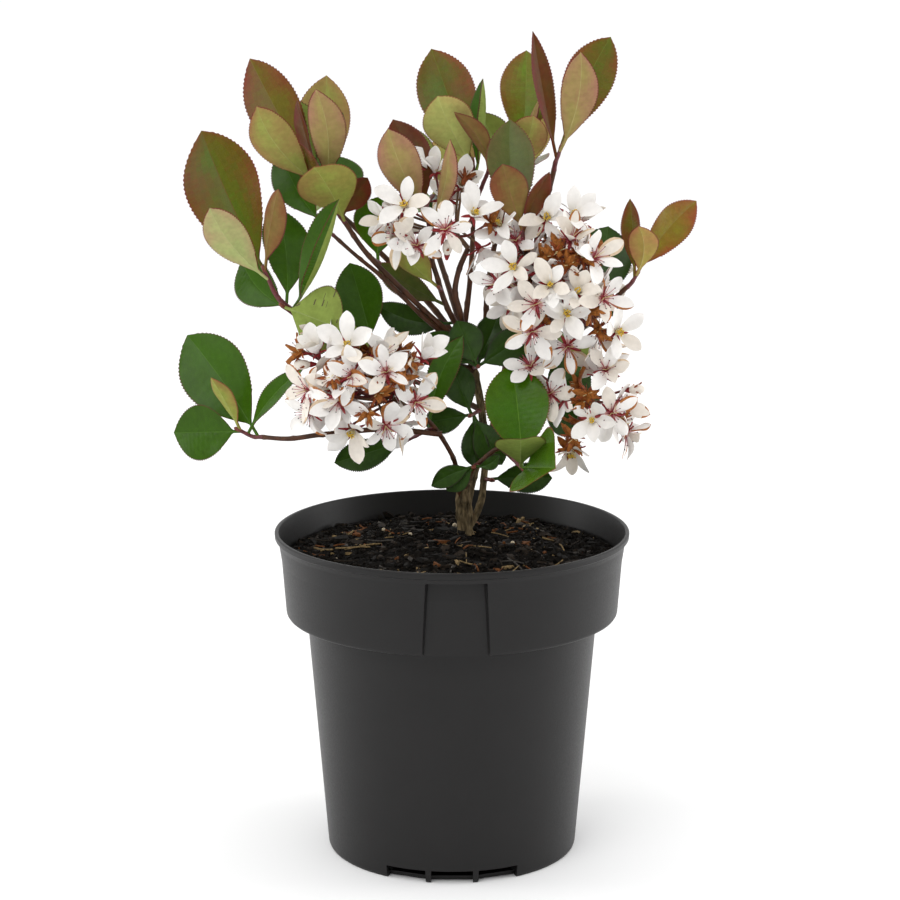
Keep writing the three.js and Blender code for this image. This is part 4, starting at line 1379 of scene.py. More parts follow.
HEART_SHOOTS = (
    Shoot("leaf_left_front", "bough_far_left", (-10, -9, 9.5), (
        Leaf(1.0, 106, 22, 35, 35, Tone.GREEN, 180, 16, fold=5, specks=0.03),
    ), foot=(-73, -2.7, 272)),
    Shoot("leaf_top_side", "bough_top", (7, -12, 19), (
        Leaf(1.0, -26, 12, 36, 11, Tone.RUSSET, 150, bow=-4),
    ), foot=(11, 17.9, 328)),
    Shoot("leaf_middle_low", "bough_middle", (-1, -5, 2), (
        Leaf(1.0, -36, 8, 35, 18, Tone.LIME, 150, bow=3),
    ), foot=(-5.4, 7.1, 287)),
    Shoot("leaves_middle_left", "trunk", (-9, 9, 14), (
        Leaf(0.5, -79, -4, 42, 15, bow=-4),
        Leaf(1.0, -60, -4, 42, 14, Tone.GREY, bow=-1),
    ), foot=(6.3, 13.1, 263)),
    Shoot("leaf_left_behind", "bough_left", (3, 8, -3), (
        Leaf(1.0, 4, -16, 35, 25, Tone.FRESH, bow=-1.5),
    ), foot=(-40, 5.5, 303.3)),
    Shoot("leaf_behind_left", "bough_far_left", (-4, 6, 4), (
        Leaf(1.0, -16, -8, 44, 24, Tone.GREEN, bow=0.5),
    ), foot=(-36, 5, 254)),
    Shoot("leaves_heart_upper", "trunk", (2, -13, 3), (
        Leaf(0.7, 24, -10, 30, 16),
        Leaf(0.9, -56, 4, 30, 15),
        Leaf(0.8, 58, 0, 32, 18),
        Leaf(1.0, -24, 10, 26, 18),
    ), foot=(11, 16, 246)),
    Shoot("leaves_heart_left", "trunk", (-5, -9, -1), (
        Leaf(0.9, 150, 10, 30, 17),
        Leaf(0.8, 178, 10, 28, 14),
        Leaf(0.9, -100, 4, 26, 14),
        Leaf(1.0, -22, 8, 30, 17),
    ), foot=(15, 18.3, 224)),
    Shoot("leaves_under", "bough_front", (-2, -6, 0), (
        Leaf(1.0, -113, 16, 24, 10.5, bow=1.5),
        Leaf(0.9, -131, 10, 19, 10),
        Leaf(0.9, 64, 6, 14, 7, bow=2),
    ), foot=(13.3, 1, 199.3)),
    Shoot("leaves_low_front", "bough_low_middle", (-13, 8, -8), (
        Leaf(0.2, 20, -2, 50, 14, Tone.GREEN, bow=-4),
        Leaf(1.0, -110, -4, 41, 16),
    ), foot=(-9, -8.5, 220.3)),
    Shoot("leaves_right_back", "bough_far_right", (8, 9, 8), (
        Leaf(0.7, 61, 16, 19, 9),
        Leaf(0.8, 11, -22, 49, 29),
        Leaf(1.0, -30, -50, 36, 22),
    ), foot=(66, 17, 266)),
    Shoot("leaves_right_low", "bough_low_right", (3, 8, -2), (
        Leaf(0.8, 60, -14, 32, 26),
        Leaf(1.0, 100, -10, 34, 19),
        Leaf(1.0, 132, -6, 30, 17),
    ), foot=(42, 14, 231.4)),
    Shoot("leaf_foot_right", "stem_right", (3, -3, 0), (
        Leaf(0.8, 89, 6, 33, 16, bow=-1),
    ), foot=(16.4, 22.6, 187)),
)

BACK_SHOOTS = (
    BackShoot("back_left", (-8, 12, 14), 9, 11, (-78, 62, 350), (22, 50, 50)),
    BackShoot("back_middle", (2, 16, 14), 10, 12, (-8, 76, 338), (38, 46, 52)),
    BackShoot("back_right", (2, 12, 20), 10, 13, (38, 74, 350), (30, 46, 48)),
    BackShoot("back_low_left", (-14, 16, 4), 9, 14, (-48, 62, 246), (44, 46, 38)),
    BackShoot("back_low_right", (12, 14, 2), 9, 15, (66, 68, 230), (36, 44, 34)),
)


@dataclass
class LeafMaker:
    """Makes leaves as thin arched blades with ribs, veins and a toothed edge, and colours their faces."""

    petiole: float = 0.12
    stalk: float = 0.85
    rise: float = 0.9
    fall: float = 0.95
    taper: float = 1.8
    teeth: int = 25
    tooth: float = 0.66
    toothed: Pair = (0.2, 0.95)
    tip: float = 0.12
    joint: float = 0.09
    thick: float = 0.42
    stalk_thick: float = 1.5
    rib: float = 0.34
    margin: float = 0.42
    vein_gap: float = 4.6
    vein: float = 0.08
    vein_slant: float = 0.85
    rib_groove: float = 0.22
    rib_keel: float = 0.4
    ripple: float = 0.07
    inner: int = 5
    steps: int = 8
    dull: Pair = (0.45, 0.6)

    def stations(self) -> tuple[Array, Array]:
        """Lay out the rows along a leaf.

        Returns:
            Each row's share of the length, and how far its edge stands out as a tooth, from 0 to 1.
        """
        low, high = self.toothed
        pitch = (high - low) / self.teeth
        rows = [(u, 0.0) for u in (0.03, 0.07, 0.12, 0.16)]
        for notch in low + pitch * np.arange(self.teeth):
            rows += [(notch, 0.0), (notch + 0.7 * pitch, 1.0)]
        rows += [(u, 0.0) for u in (0.955, 0.975, 0.99, 1.0)]
        blade = self.petiole + np.array([row[0] for row in rows]) * (1 - self.petiole)
        stalk = np.linspace(0, self.petiole, 4)
        tooth = np.array([0.0] * len(stalk) + [row[1] for row in rows])
        return np.concatenate([stalk, blade]), tooth

    def half_width(self, shares: Array, width: float) -> Array:
        """Give half the blade's width along the leaf, as the solids have it.

        Args:
            shares: Shares of the leaf's length.
            width: The blade's full width.

        Returns:
            Half the width at each share.
        """
        u = np.clip((shares - self.petiole) / (1 - self.petiole), 0, 1)
        widest = (self.rise / (self.rise + self.taper * self.fall)) ** (1 / self.taper)
        full = widest**self.rise * (1 - widest**self.taper) ** self.fall
        return width / 2 * u**self.rise * (1 - u**self.taper) ** self.fall / full

    def columns(self, shares: Array, half: Array) -> Array:
        """Lay out the points across each row, as shares of its half-width from -1 to 1.

        Args:
            shares: The rows' shares of the leaf's length.
            half: The rows' half-widths.

        Returns:
            The shares by row and column.
        """
        edge = np.clip(1 - self.margin / half, 0.8, 0.97)
        rib = np.clip(self.rib * (1 - 0.7 * shares) / half, 0.012, 0.3)
        between = np.linspace(0, 1, self.inner + 1)
        right = rib[:, None] + (edge - rib)[:, None] * between[None, :]
        ones = np.ones((len(half), 1))
        return np.concatenate([-ones, -right[:, ::-1], 0 * ones, right, ones], 1)

    def blade(self, leaf: Leaf, foot: Array, along: Array, face: Array, draw: Random) -> Body:
        """Make one leaf.

        Args:
            leaf: Its sizes.
            foot: Where it leaves its twig.
            along: The way that it points.
            face: The way that its upper side looks.
            draw: Its source of chance.

        Returns:
            The closed body.
        """
        shares, tooth = self.stations()
        arch = math.radians(max(leaf.arch, 0.5))
        bend = arch * shares
        across = unit(np.cross(along, face))
        top = np.cross(across, along)
        out = leaf.length * np.sin(bend) / arch
        down = leaf.length * (1 - np.cos(bend)) / arch
        bow = 4 * leaf.bow * shares * (1 - shares)
        middle = foot + np.outer(out, along) - np.outer(down, top) + np.outer(bow, across)
        up = np.outer(np.cos(bend), top) + np.outer(np.sin(bend), along)
        least = np.where(shares < 0.5, self.stalk, self.tip)
        half = np.maximum(self.half_width(shares, leaf.width), least)
        half = half + tooth * self.tooth * np.clip(half / 6, 0.3, 1)
        columns = self.columns(shares, half)
        blade = eased(shares, self.petiole, self.petiole + self.joint)[:, None]
        flat, lift = self.folded(leaf, shares, half, columns, blade, draw)
        x = columns * half[:, None]
        if leaf.roll:
            flat, lift = self.rolled(leaf.roll, half, x, flat, lift)
        run = shares[:, None] * leaf.length - self.vein_slant * np.abs(x)
        veins = np.cos(2 * math.pi * run / self.vein_gap)
        lift = lift - self.vein * np.clip(veins, 0, 1) ** 3 * blade * (1 - np.abs(columns) ** 4)
        thick = self.stalk_thick + (self.thick - self.stalk_thick) * blade
        puff = thick / 2 * np.sqrt(np.clip(1 - np.abs(columns) ** (2 + 6 * blade), 0, 1))
        rib = np.exp(-((x / self.rib) ** 2)) * blade * (1 - 0.75 * shares[:, None])
        above, below = lift + puff - self.rib_groove * rib, lift - puff - self.rib_keel * rib
        return plate(middle, across, up, flat, above, below)

    def folded(
        self, leaf: Leaf, shares: Array, half: Array, columns: Array, blade: Array, draw: Random
    ) -> tuple[Array, Array]:
        """Fold a blade along its rib, with a waved and curled edge.

        Args:
            leaf: The leaf.
            shares: The rows' shares of its length.
            half: The rows' half-widths.
            columns: The points across each row, as shares of its half-width.
            blade: How far each row is past the stalk, from 0 to 1.
            draw: Their source of chance.

        Returns:
            Each point's place across the folded blade, and its height over it.
        """
        x = columns * half[:, None]
        fold = math.radians(leaf.fold)
        waves = draw.uniform(0, 6.28, 2)
        wave = np.sin(8 * shares + waves[0]) * 0.6 + np.sin(15 * shares + waves[1]) * 0.4
        ripple = wave[:, None] * (columns > 0) + wave[::-1, None] * (columns < 0)
        lift = np.abs(x) * math.sin(fold) * blade
        lift = lift + leaf.curl * half[:, None] * np.abs(columns) ** 3 * blade
        lift = lift + self.ripple * half[:, None] * ripple * columns**2 * blade
        flat = x * (1 - (1 - math.cos(fold)) * blade)
        return flat, lift

    @staticmethod
    def patches(spot: Array, cells: int, place: float) -> Array:
        """Give what each face adds to its climb up the ladder of tints, in soft patches."""
        rows = [[noise.noise(Vector((5.5 * s, 0.22 * c, place))) for c in range(cells)] for s in spot]
        return 0.42 * np.array(rows)

    @staticmethod
    def rolled(roll: float, half: Array, x: Array, flat: Array, lift: Array) -> tuple[Array, Array]:
        """Curl one half of a blade over past a line beside its rib.

        Args:
            roll: How far its edge is turned over, in degrees; the sign says which half.
            half: The rows' half-widths.
            x: Each point's place across the open blade.
            flat: Its place across the folded blade.
            lift: Its height over the folded blade.

        Returns:
            The new places across and heights.
        """
        side = math.copysign(1, roll)
        hinge = 0.25 * half[:, None]
        past = np.clip(x * side - hinge, 0, None)
        bend = math.radians(abs(roll)) / (half[:, None] - hinge)
        turn = past * bend
        flat = flat - side * (past - np.sin(turn) / bend)
        return flat, lift + (1 - np.cos(turn)) / bend

    def finishes(self, pile: Pile, tone: Tone, below: bool) -> tuple[Array, int, int]:
        """List the finishes of one side of a leaf.

        Args:
            pile: The pile whose list they go in.
            tone: How ripe the leaf is.
            below: Whether this is its lower side.

        Returns:
            Places in the pile's list: of the tints from rib to edge, of the rib, and of the margin.
        """
        tints, name = tone.value, f"leaf_{tone.name.lower()}"
        side = "below" if below else "above"
        low, high = tints.below if below else tints.above
        rough = self.dull if below else tints.gloss
        sheen = 0.06 if below else 0.14
        ladder = []
        for k in range(self.steps):
            tint = blended(low, high, k / (self.steps - 1))
            step = Finish(f"{name}_{side}_{k}", tint, 0.86, 2.6, grain=0.5, rough=rough, sheen=sheen)
            ladder.append(pile.slot_of(step))
        rib_tint = blended(blended(low, high, 0.25), tints.ribs[below], 0.55)
        rib = pile.slot_of(Finish(f"{name}_{side}_rib", rib_tint, rough=self.dull, sheen=0.15))
        margin = pile.slot_of(Finish(f"{name}_margin", tints.margin, rough=self.dull, sheen=0.25))
        return np.array(ladder), rib, margin

    def colour(self, pile: Pile, leaf: Leaf, draw: Random) -> Array:
        """Deal out the leaf's tints by face: ribs, margin, and a ladder of tints from rib to edge.

        Args:
            pile: The pile whose list of finishes is used.
            leaf: The leaf.
            draw: Its source of chance.

        Returns:
            A place in the pile's list for each face.
        """
        shares, _ = self.stations()
        middle = self.inner + 2
        cells = 2 * middle
        rows = len(shares) - 1
        spot = (shares[:-1] + shares[1:]) / 2
        place = (np.arange(cells) + 0.5 - middle) / middle
        ripe = 0.75 * np.abs(place) ** 1.7 + draw.uniform(-0.22, 0.22) * place
        slots = np.zeros((rows, 2 * cells), int)
        for below in (False, True):
            ladder, rib, margin = self.finishes(pile, leaf.tone, below)
            climb = ripe[None, :] + 0.42 * (spot[:, None] - 0.45) + draw.normal(0, 0.035, (rows, cells))
            climb = climb + self.patches(spot, cells, draw.uniform(0, 90))
            worn = ladder[np.clip(np.round(climb * self.steps), 0, self.steps - 1).astype(int)]
            worn[:, middle - 1 : middle + 1] = rib
            worn[4:, [0, -1]] = margin
            if leaf.specks and below:
                speck = pile.slot_of(Finish("leaf_speck", "4a3a1c", rough=(0.5, 0.6)))
                worn[draw.random((rows, cells)) < leaf.specks] = speck
            slots[:, cells * below : cells * (1 + below)] = worn[:, ::-1] if below else worn
        ends = np.full(4 * cells, slots[0, middle])
        return np.concatenate([np.repeat(slots.ravel(), 2), ends])


@dataclass
class Foliage:
    """The shoots: a twig grown on from each limb, and the leaves round it."""

    routes: dict[str, Route]
    maker: LeafMaker = field(default_factory=LeafMaker)
    lowest: float = 0.15
    lean: Pair = (72, 44)
    lean_spread: float = 10
    swing_spread: float = 0.5
    length: Pair = (42, 16)
    slimness: Pair = (0.44, 0.08)
    arch: Pair = (14, 10)
    rind: Finish = Finish(
        "shoot_rind", "6a2c2e", darker=0.6, patch=2.2, grain=0.4, relief=0.1, rough=(0.38, 0.55)
    )
    bud: Finish = Finish("shoot_bud", "7a3a28", darker=0.7, patch=1.5, rough=(0.4, 0.6))

    def build(self) -> None:
        """Make the young shoots, the shoots of the heart and those of the back."""
        twigs = Pile("shoot_twigs")
        self.grow_front(twigs, "leaves_young", "young_leaf", SHOOTS, 100)
        self.grow_front(twigs, "leaves_heart", "old_leaf", HEART_SHOOTS, 150)
        pile = Pile("leaves_back")
        for shoot in BACK_SHOOTS:
            self.grow_back(pile, twigs, shoot)
        pile.finish("old_leaf", *(shoot.name for shoot in BACK_SHOOTS))
        twigs.finish("twig")

    def grow_front(self, twigs: Pile, name: str, slot: str, shoots: tuple[Shoot, ...], seed: int) -> None:
        """Grow the shoots of a table, and join their leaves.

        Args:
            twigs: The pile the twigs go on.
            name: The name of the piece.
            slot: The record's material slot for its leaves, handed on to Pile.finish.
            shoots: The table.
            seed: Where the first shoot's unevenness starts.
        """
        pile = Pile(name)
        for number, shoot in enumerate(shoots):
            draw = np.random.default_rng(seed + number)
            twig = self.twig(shoot.on, shoot.run, shoot.foot)
            self.grow_twig(twigs, twig, number)
            for leaf in shoot.leaves:
                along = leaf.aim()
                face = self.face(along, FRONT, leaf.turn)
                body = self.maker.blade(leaf, twig.at(leaf.along), along, face, draw)
                pile.add(body, self.maker.colour(pile, leaf, draw))
        pile.finish(slot, *(shoot.name for shoot in shoots))

    @staticmethod
    def face(along: Array, towards: Array, turn: float) -> Array:
        """Give the way that a leaf's upper side looks, after a turn about its rib."""
        return turned(unit(towards - along * (along @ towards)), along, turn)

    def twig(self, on: str, run: Triple, foot: Triple | None) -> Route:
        """Lay a shoot's twig from its limb's tip, or from its foot on the wood.

        Args:
            on: The limb that carries it.
            run: Where its tip is from its foot.
            foot: Its foot, if that isn't the limb's tip.

        Returns:
            The twig's route.
        """
        limb = self.routes[on]
        start = np.array(foot, float) if foot else limb.at(1)
        step = np.array(run, float)
        towards = unit(step) if foot else limb.towards(1)
        middle = start + towards * float(np.linalg.norm(step)) * 0.45
        return Route([start, middle, start + step], (1.1 if foot else limb.radius(1), 0.9))

    def grow_twig(self, twigs: Pile, twig: Route, number: int) -> None:
        """Skin a twig, with a pointed bud at its tip.

        Args:
            twigs: The pile it goes on.
            twig: Its route.
            number: Its place in the table, which seeds its bark.
        """
        twigs.add(twig.tube(16, 12, Relief(ridge=0.05, scar=0.25, scar_gap=4, seed=80 + number)), self.rind)
        tip, way = twig.at(1), twig.towards(1)
        twigs.add(egg(tip + way * 1.2, way, 2.6, 1.15), self.bud)

    def grow_back(self, pile: Pile, twigs: Pile, shoot: BackShoot) -> None:
        """Grow a shoot by the solids' rule: leaves in a spiral, less spread towards the tip.

        Args:
            pile: The pile its leaves go on.
            twigs: The pile its twig goes on.
            shoot: The shoot.
        """
        twig = self.twig(shoot.on, shoot.run, None)
        self.grow_twig(twigs, twig, shoot.seed)
        draw, uneven = Draw(shoot.seed), np.random.default_rng(shoot.seed)
        for k in range(shoot.count):
            t = self.lowest + (1 - self.lowest) * k / (shoot.count - 1)
            axis = twig.towards(t)
            side = unit(np.cross([1.0, 0, 0], axis))
            spread = math.radians(self.lean[0] - self.lean[1] * t + self.lean_spread * (draw() - 0.5))
            out = turned(side, axis, SPIRAL * k + math.degrees(self.swing_spread * (draw() - 0.5)))
            along = axis * math.cos(spread) + out * math.sin(spread)
            length = self.length[0] + self.length[1] * draw()
            width = length * (self.slimness[0] + self.slimness[1] * draw())
            foot = twig.at(t)
            tone = Tone.SUNNY if t > 0.85 else Tone.GREEN if t > 0.55 else Tone.DEEP
            arch = self.arch[0] + self.arch[1] * draw()
            leaf = Leaf(t, 0, 0, length, width, tone, arch=arch)
            if np.linalg.norm((foot + along * length - shoot.middle) / np.array(shoot.reach)) <= 1:
                body = self.maker.blade(leaf, foot, along, self.face(along, axis, 0), uneven)
                pile.add(body, self.maker.colour(pile, leaf, uneven))


# Blossom


@dataclass(frozen=True)
class Opening:
    """How far a flower's sepals and stamens lean out, in degrees, and how long its stamens are."""

    sepals: float
    stamens: float = 0
    reach: float = 0


class Stage(Enum):
    """How far a flower has come."""

    BUD = Opening(14)
    CUP = Opening(62, 14, 4.6)
    FRESH = Opening(80, 24, 4.6)
    RIPE = Opening(82, 44, 6.2)
    SPENT = Opening(58, 48, 4.8)


@dataclass(frozen=True)
class Bloom:
    """One flower of a head: its place across and up from the middle, its stage, and how it is turned."""

    across: float
    up: float
    stage: Stage = Stage.RIPE
    spin: float = 0
    look: Pair | None = None
    cup: float = 70
    depth: float = 1.0


@dataclass(frozen=True)
class Head:
    """A head of flowers: its space, the flowers that show on its front, and how many a rule adds."""

    name: str
    on: str
    middle: Triple
    half: Triple
    seed: int
    rest: int
    front: tuple[Bloom, ...]
    inner: int = 17


HEADS = (
    Head("blossom_left", "bough_low_middle", (-43, -22, 246), (34, 24, 30), 21, 5, (
        Bloom(-9, 23, Stage.FRESH, 8, (0.0, 0.5), 66),
        Bloom(-6, 8, Stage.RIPE, -82, (0.1, 0.1), 82),
        Bloom(13, 9, Stage.RIPE, -8, (0.1, 0.45), 74),
        Bloom(34, 15, Stage.CUP, 10, (0.7, 1.6), 34),
        Bloom(26, 13, Stage.SPENT, 0, (0.3, 0.5)),
        Bloom(29, -10, Stage.RIPE, 28, (0.3, -0.1), 84),
        Bloom(-14, -7, Stage.RIPE, -100, (-0.2, 0.1), 80),
        Bloom(-32, -4, Stage.RIPE, -40, (-1.4, 0.2), 78),
        Bloom(-36, 18, Stage.SPENT, 0, (-1.6, 0.5)),
        Bloom(-27, 18, Stage.CUP, -20, (-0.6, 1.4), 42),
        Bloom(-32, 11, Stage.BUD, 0, (-2.0, 0.1)),
        Bloom(2, -13, Stage.SPENT, 0, (0.1, 0.0)),
        Bloom(8, -2, Stage.SPENT, 30, (0.2, -0.1)),
        Bloom(-18, 6, Stage.SPENT, 10, (-0.3, 0.3)),
        Bloom(20, 5, Stage.SPENT, 50, (0.2, 0.2)),
        Bloom(-7, -26, Stage.FRESH, 170, (-0.2, -0.7), 60),
        Bloom(-31, -17, Stage.RIPE, 150, (-1.2, -0.6), 82),
        Bloom(12, -23, Stage.RIPE, 160, (0.3, -0.8), 76),
    )),
    Head("blossom_middle", "bough_middle_blossom", (-5, -2, 326), (33, 22, 26), 22, 4, (
        Bloom(-21, 7, Stage.FRESH, -60, (-0.2, 0.5), 62),
        Bloom(-32, -2, Stage.CUP, -60, (-1.2, 0.5), 48),
        Bloom(-14, -16, Stage.RIPE, -100, (-0.1, 0.5), 70),
        Bloom(2, -6, Stage.RIPE, 88, (0.1, 0.4), 82),
        Bloom(18, 2, Stage.FRESH, 14, (0.4, 0.8), 52),
        Bloom(3, -20, Stage.BUD, 0, (0.1, 1.8)),
        Bloom(-4, 24, Stage.CUP, 10, (-0.2, 1.2), 46, -1.2),
        Bloom(11, 15, Stage.CUP, 20, (0.5, 0.9), 50, -0.9),
        Bloom(27, -3, Stage.SPENT, 0, (1.0, 0.8)),
        Bloom(-24, -10, Stage.RIPE, -95, (-0.8, -0.1), 80),
    ), inner=3),
    Head("blossom_right", "stem_right", (53, -6, 292), (40, 26, 36), 23, 5, (
        Bloom(-8, 38, Stage.FRESH, 35, (0.1, 0.7), 60),
        Bloom(-25, 26, Stage.RIPE, -80, (-0.2, 0.5), 72),
        Bloom(-14, -8, Stage.RIPE, -14, (-0.05, 0.15), 84),
        Bloom(-35, 2, Stage.RIPE, -80, (-0.6, 0.3), 74),
        Bloom(3, -13, Stage.FRESH, 20, (0.1, 0.2), 68),
        Bloom(9, -1, Stage.FRESH, -40, (0.0, 0.5), 66),
        Bloom(-5, 19, Stage.SPENT, 0, (0.0, 0.4)),
        Bloom(4, 14, Stage.SPENT, 30, (0.1, 0.4)),
        Bloom(13, 18, Stage.SPENT, 10, (0.2, 0.5)),
        Bloom(19, 18, Stage.RIPE, 60, (0.6, 0.6), 66),
        Bloom(6, 28, Stage.RIPE, 20, (0.2, 0.9), 60),
        Bloom(7, 40, Stage.CUP, 50, (0.4, 0.9), 54),
        Bloom(24, -5, Stage.RIPE, 48, (0.4, 0.2), 76),
        Bloom(33, -27, Stage.FRESH, 60, (0.5, 0.2), 62),
        Bloom(-16, -25, Stage.RIPE, -50, (-0.1, 0.0), 78),
        Bloom(5, -35, Stage.RIPE, 78, (0.0, -0.1), 84),
        Bloom(22, -24, Stage.SPENT, 0, (0.4, 0.0)),
        Bloom(-34, 35, Stage.CUP, 0, (-0.5, 0.9), 56),
        Bloom(-26, 12, Stage.FRESH, -10, (-0.3, 0.4), 66),
        Bloom(-6, 3, Stage.CUP, 30, (-0.1, 0.3), 60),
        Bloom(-1, 22, Stage.SPENT, 60, (0.1, 0.2)),
        Bloom(9, 20, Stage.SPENT, 40, (-0.1, 0.1)),
        Bloom(17, 10, Stage.SPENT, 20, (0.3, 0.1)),
        Bloom(16, -12, Stage.SPENT, 0, (0.4, 0.0)),
    ), inner=20),
    Head("blossom_low_right", "bough_low_right", (72, -4, 232), (24, 18, 27), 24, 3, (
        Bloom(5, 21, Stage.RIPE, 8, (0.2, 0.5), 66),
        Bloom(8, -3, Stage.RIPE, -8, (0.1, 0.05), 86),
        Bloom(-3, -6, Stage.CUP, -120, (-0.1, 0.0), 56),
        Bloom(-27, 6, Stage.RIPE, 20, (-0.2, 0.2), 76),
        Bloom(-38, 22, Stage.RIPE, -80, (-0.3, 0.6), 80),
        Bloom(-6, 8, Stage.SPENT, 0, (0.0, 0.2)),
        Bloom(20, 9, Stage.BUD, 60, (1.4, 0.3)),
        Bloom(-16, -26, Stage.SPENT, 0, (-0.1, -0.2)),
        Bloom(-14, -27, Stage.FRESH, 180, (-0.1, -1.2), 50),
        Bloom(-9, 3, Stage.SPENT, 40, (-0.2, 0.1)),
        Bloom(-13, -19, Stage.SPENT, 40, (-0.2, -0.4)),
    ), inner=6),
    Head("blossom_back", "bough_back_blossom", (58, 62, 290), (30, 24, 30), 25, 11, (), inner=4),
)


@dataclass
class FlowerMaker:
    """Makes one flower from petals, sepals, stamens and its stalk."""

    petals: int = 5
    petal_rows: int = 11
    petal_columns: int = 7
    length: float = 15.2
    width: float = 7.7
    rise: float = 0.78
    taper: float = 2.5
    fall: float = 0.8
    bend: Pair = (-18, 66)
    roll: Pair = (-0.12, 0.34)
    twist: float = 0.26
    claw: float = 1.2
    thick: float = 0.28
    white_share: float = 0.7
    scorched_share: float = 0.55
    edge_worn: float = 0.38
    tip_worn: float = 0.22
    sepal: float = 6.6
    sepal_width: float = 2.3
    neck: float = 4.2
    stamens: int = 15
    stamen_radius: float = 0.19
    anthers: Pair = (0.62, 0.42)
    styles: int = 2
    style_radius: float = 0.24
    white: Finish = Finish(
        "petal_white", "f3f0ec", darker=0.94, grain=0.5, relief=0.03, rough=(0.55, 0.7), sheen=0.15
    )
    # A darker, warmer copy of the petal white, dealt to some petals and to buds: painted shade
    shade: Finish = Finish(
        "petal_painted_shade", "ebe3d8", darker=0.92, grain=0.5, relief=0.03, rough=(0.55, 0.7), sheen=0.15
    )
    blush: Finish = Finish("petal_blush", "e4bfb4", darker=0.9, patch=2.0, rough=(0.5, 0.65), sheen=0.2)
    tinge: Finish = Finish("petal_tinge", "dfc6a6", darker=0.8, patch=1.6, rough=(0.5, 0.65), sheen=0.2)
    scorch: Finish = Finish("petal_scorch", "b4713a", darker=0.55, patch=1.2, rough=(0.5, 0.7), sheen=0.2)
    wither: Finish = Finish("petal_wither", "a8662c", darker=0.5, patch=1.4, rough=(0.5, 0.7), sheen=0.2)
    red: Finish = Finish("sepal_red", "9a2c30", darker=0.65, patch=1.4, rough=(0.45, 0.6), sheen=0.3)
    rust: Finish = Finish("sepal_rust", "9c4f26", darker=0.55, patch=1.4, rough=(0.45, 0.65), sheen=0.3)
    stalk: Finish = Finish("stalk_olive", "6a4a2c", darker=0.65, patch=2.0, relief=0.1, rough=(0.45, 0.65))
    stalk_red: Finish = Finish(
        "stalk_red", "74302a", darker=0.65, patch=2.0, relief=0.1, rough=(0.45, 0.65)
    )
    rose: Finish = Finish("filament_rose", "b04a5c", darker=0.8, patch=1.2, rough=(0.4, 0.55))
    cream: Finish = Finish("filament_cream", "ddd09a", darker=0.9, patch=1.2, rough=(0.4, 0.55))
    anther: Finish = Finish("anther_dark", "3c2424", darker=0.7, patch=0.6, rough=(0.6, 0.8))
    pollen: Finish = Finish("anther_yellow", "e0bb3c", darker=0.8, patch=0.6, rough=(0.6, 0.8))

    def petal(
        self, place: Array, out: Array, radial: Array, cup: float, size: float, draw: Random
    ) -> Body:
        """Make one petal.

        Args:
            place: The middle of the flower.
            out: The way that the flower looks.
            radial: The petal's own way out from the middle.
            cup: Its angle from the flower's axis.
            size: Its length as a share of the usual one.
            draw: Its source of chance.

        Returns:
            The closed body.
        """
        inner = np.linspace(0.14, 0.9, self.petal_rows - 4)
        u = np.concatenate([[0, 0.06], inner, [0.97, 1.0]])
        bend, roll, twist = draw.uniform(*self.bend), draw.uniform(*self.roll), draw.normal(0, self.twist)
        angle = np.radians(cup - 10 + bend * (u - 0.4))
        step = np.diff(u, prepend=0) * self.length * size
        along = np.outer(np.sin(angle), radial) + np.outer(np.cos(angle), out)
        normal = np.outer(np.sin(angle), out) - np.outer(np.cos(angle), radial)
        middle = place + radial * self.claw + np.cumsum(along * step[:, None], 0)
        shape = u**self.rise * (1 - u**self.taper) ** self.fall
        half = self.width / 2 * size * draw.uniform(0.88, 1.08) * shape / shape.max()
        half = np.maximum(half, 0.7 - 0.62 * eased(u, 0.8, 1.0))
        v = np.linspace(-1, 1, self.petal_columns)
        x = half[:, None] * v
        ripple = 0.26 * np.sin(9 * u + draw.uniform(0, 6))[:, None] * v**2 * np.sign(v)
        lift = roll * half[:, None] * v**2 * 2.2 + ripple + twist * x * u[:, None]
        lift = lift - 0.14 * np.exp(-((v / 0.25) ** 2)) * np.sin(math.pi * u)[:, None]
        puff = self.thick / 2 * np.sqrt(np.clip(1 - v**4, 0, 1))
        return plate(middle, np.cross(out, radial), normal, x, lift + puff, lift - puff)

    def petal_slots(self, pile: Pile, stage: Stage, draw: Random) -> Array:
        """Colour one petal's faces: the white or its darker copy of painted shade, a blush at its foot, and
        a scorched edge on some.

        Args:
            pile: The pile whose list of finishes is used.
            stage: How far the flower has come.
            draw: Its source of chance.

        Returns:
            A place in the pile's list for each face.
        """
        rows, around = self.petal_rows - 1, 2 * (self.petal_columns - 1)
        last, half = around - 1, around // 2
        left, right = [0, last], [half - 1, half]
        # by chance the petal wears the white, or its darker copy of painted shade
        body = pile.slot_of(self.white if draw.random() < self.white_share else self.shade)
        slots = np.full((rows, around), body)
        if stage is Stage.RIPE:
            slots[:2] = pile.slot_of(self.blush)
            worn = pile.slot_of(self.scorch if draw.random() < self.scorched_share else self.tinge)
            side, start = draw.choice([left, right]), draw.integers(2, rows - 2)
            if draw.random() < self.edge_worn:
                slots[start:, side] = worn
            if draw.random() < self.tip_worn:
                slots[-1] = worn
                slots[start:, left + right] = worn
        ends = np.full(2 * around, body)
        return np.concatenate([np.repeat(slots.ravel(), 2), ends])

